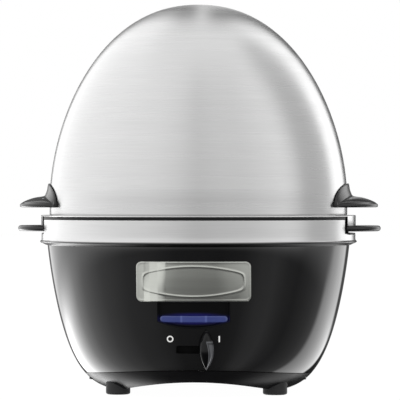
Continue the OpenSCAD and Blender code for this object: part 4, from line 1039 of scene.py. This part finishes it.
ways = 2 * pi * np.arange(tray["eggs"]) / tray["eggs"]
between = pi / tray["eggs"]
eggPlaces = [(tray["eggRing"] * np.cos(a), tray["eggRing"] * np.sin(a)) for a in ways] \
    + [(0, tray["eggInner"]), (0, -tray["eggInner"])]
drains = [(r * np.cos(a + between), r * np.sin(a + between)) for a in ways for r in tray["drainRings"]]
trayCuts = [holeCut(tray["eggRadius"], 72, place) for place in eggPlaces] \
    + [holeCut(tray["drain"], 28, place) for place in drains]
trayLine = trayOutline()
addPiece("trayPan", turnTray(turned(trayLine, 256)), "tray", steelRim, ["tray_pan"],
         [turnTray(cut) for cut in trayCuts], grain=grainRound(trayLine))
addPiece("trayRims", turnTray(joined(*map(eggRim, eggPlaces))), "tray", steelRim,
         grain=grainAcross)
addPiece("trayTabs", turnTray(joined(*[spun(trayTab(), side) for side in (0, 180)])), "tray",
         steelRim, grain=grainAcross)
print("tray ready")

# Switch lever

# The last four values place the crescent of painted light on the lever's face
lever = {"x": 7.2, "z": 28.9, "halfHeight": 11.6, "width": 8.2, "out": 8.5, "sideRadius": 15, "root": -78.7,
         "stemHalf": 2.8, "stemHalfHeight": 2, "stemFront": -80.2, "stemBack": -66.6,
         "fullness": 1.08, "paintedLightTop": 5, "paintedLightFoot": -11.2, "paintedLightBow": 1.5, "paintedLightFade": 1.2}


def leverShape():
    # Sections from foot to top: a fin whose sides and crest are arcs, set into the bowl
    s = lever
    v = np.sin(np.linspace(-pi / 2, pi / 2, 81)) * 0.9995
    z = s["z"] + v * s["halfHeight"]
    sideBow = (s["halfHeight"] ** 2 + (s["width"] / 2) ** 2) / s["width"]
    half = np.sqrt(sideBow ** 2 - (v * s["halfHeight"]) ** 2) - sideBow + s["width"] / 2
    half = np.maximum(half, 0.05) * s["fullness"]
    crestBow = np.sqrt(s["sideRadius"] ** 2 - (v * s["halfHeight"]) ** 2)
    crest = s["root"] - s["out"] + s["sideRadius"] - crestBow
    back = -np.sqrt(bowlRadius(z, -0.55) ** 2 - (s["x"] + half) ** 2)
    crest = np.minimum(crest, back - 0.3)
    deep = back - crest
    # Left side, narrow crest, and a broad face that looks to the right
    faced = [(-1, 0), (-1, 0.35), (-0.9, 0.75), (-0.65, 0.97), (-0.3, 1.0), (0.05, 1.0), (0.4, 0.98),
             (0.75, 0.85), (1, 0.5), (1, 0)]
    plain = [(-1, 0), (-1, 0.3), (-0.8, 0.7), (-0.45, 0.95), (-0.1, 1.0), (0.1, 1.0), (0.45, 0.95),
             (0.8, 0.7), (1, 0.3), (1, 0)]
    k = step((v - 0.35) / 0.25)                          # the pointed top is plain, below it the face is cut
    ring = np.stack([np.stack([s["x"] + half * (cutX * (1 - k) + plainX * k),
                               back - deep * (cutY * (1 - k) + plainY * k), z], -1)
                     for (cutX, cutY), (plainX, plainY) in zip(faced, plain)], axis=1)
    return skin(rounded(ring), around=False)


def stemShape():
    left, right = lever["x"] - lever["stemHalf"], lever["x"] + lever["stemHalf"]
    low, high = lever["z"] - lever["stemHalfHeight"], lever["z"] + lever["stemHalfHeight"]
    return prismShape([(left, high), (right, high), (right, low), (left, low)], lever["stemFront"],
                      lever["stemBack"])


def paintedLightPath(places):
    # How far a place lies inside the crescent of painted light, whose left edge bows out: b (1 - t^2), t from
    # -1 to 1
    s = lever
    x, z = places[:, 0] - s["x"], places[:, 2] - s["z"]
    t = (2 * z - s["paintedLightTop"] - s["paintedLightFoot"]) / (s["paintedLightTop"] - s["paintedLightFoot"])
    inside = np.minimum((x - s["paintedLightBow"] * (1 - t ** 2)) / s["paintedLightFade"], (1 - np.abs(t)) * 3) + 0.3
    return np.stack([inside.clip(0, 1), 0 * x, 0 * x], -1)


addPiece("switchLever", joined(leverShape(), stemShape()), "switch", knobPlastic,
         ["switch_knob"], sharp=50, grain=paintedLightPath)
print("lever ready")


# Pale floor, lit mostly from within so that it stays even

paper = {"glow": 0.99, "diffuse": 0.04, "halfWidth": 6}


def paleFloor():
    # Coated paper: even and without shine. Reflections don't show it, so that they stay the studio's.
    finish, tree = emptyMaterial("palePaperSweep")
    light = addNode(tree, "Emission", {"Color": grey(1), "Strength": paper["glow"]})
    coat = addNode(tree, "BsdfDiffuse", {"Color": grey(paper["diffuse"])})
    both = addNode(tree, "AddShader", links={0: light.outputs[0], 1: coat.outputs[0]})
    addNode(tree, "OutputMaterial", links={0: both.outputs[0]})
    mesh = bpy.data.meshes.new("paleFloor")
    wide = paper["halfWidth"]
    corners = [(-wide, -wide, 0), (wide, -wide, 0), (wide, wide, 0), (-wide, wide, 0)]
    mesh.from_pydata(corners, [], [(0, 1, 2, 3)])
    mesh.materials.append(finish)
    floor = bpy.data.objects.new("paleFloor", mesh)
    scene.collection.objects.link(floor)
    floor.visible_glossy = False


paleFloor()
print("floor ready")
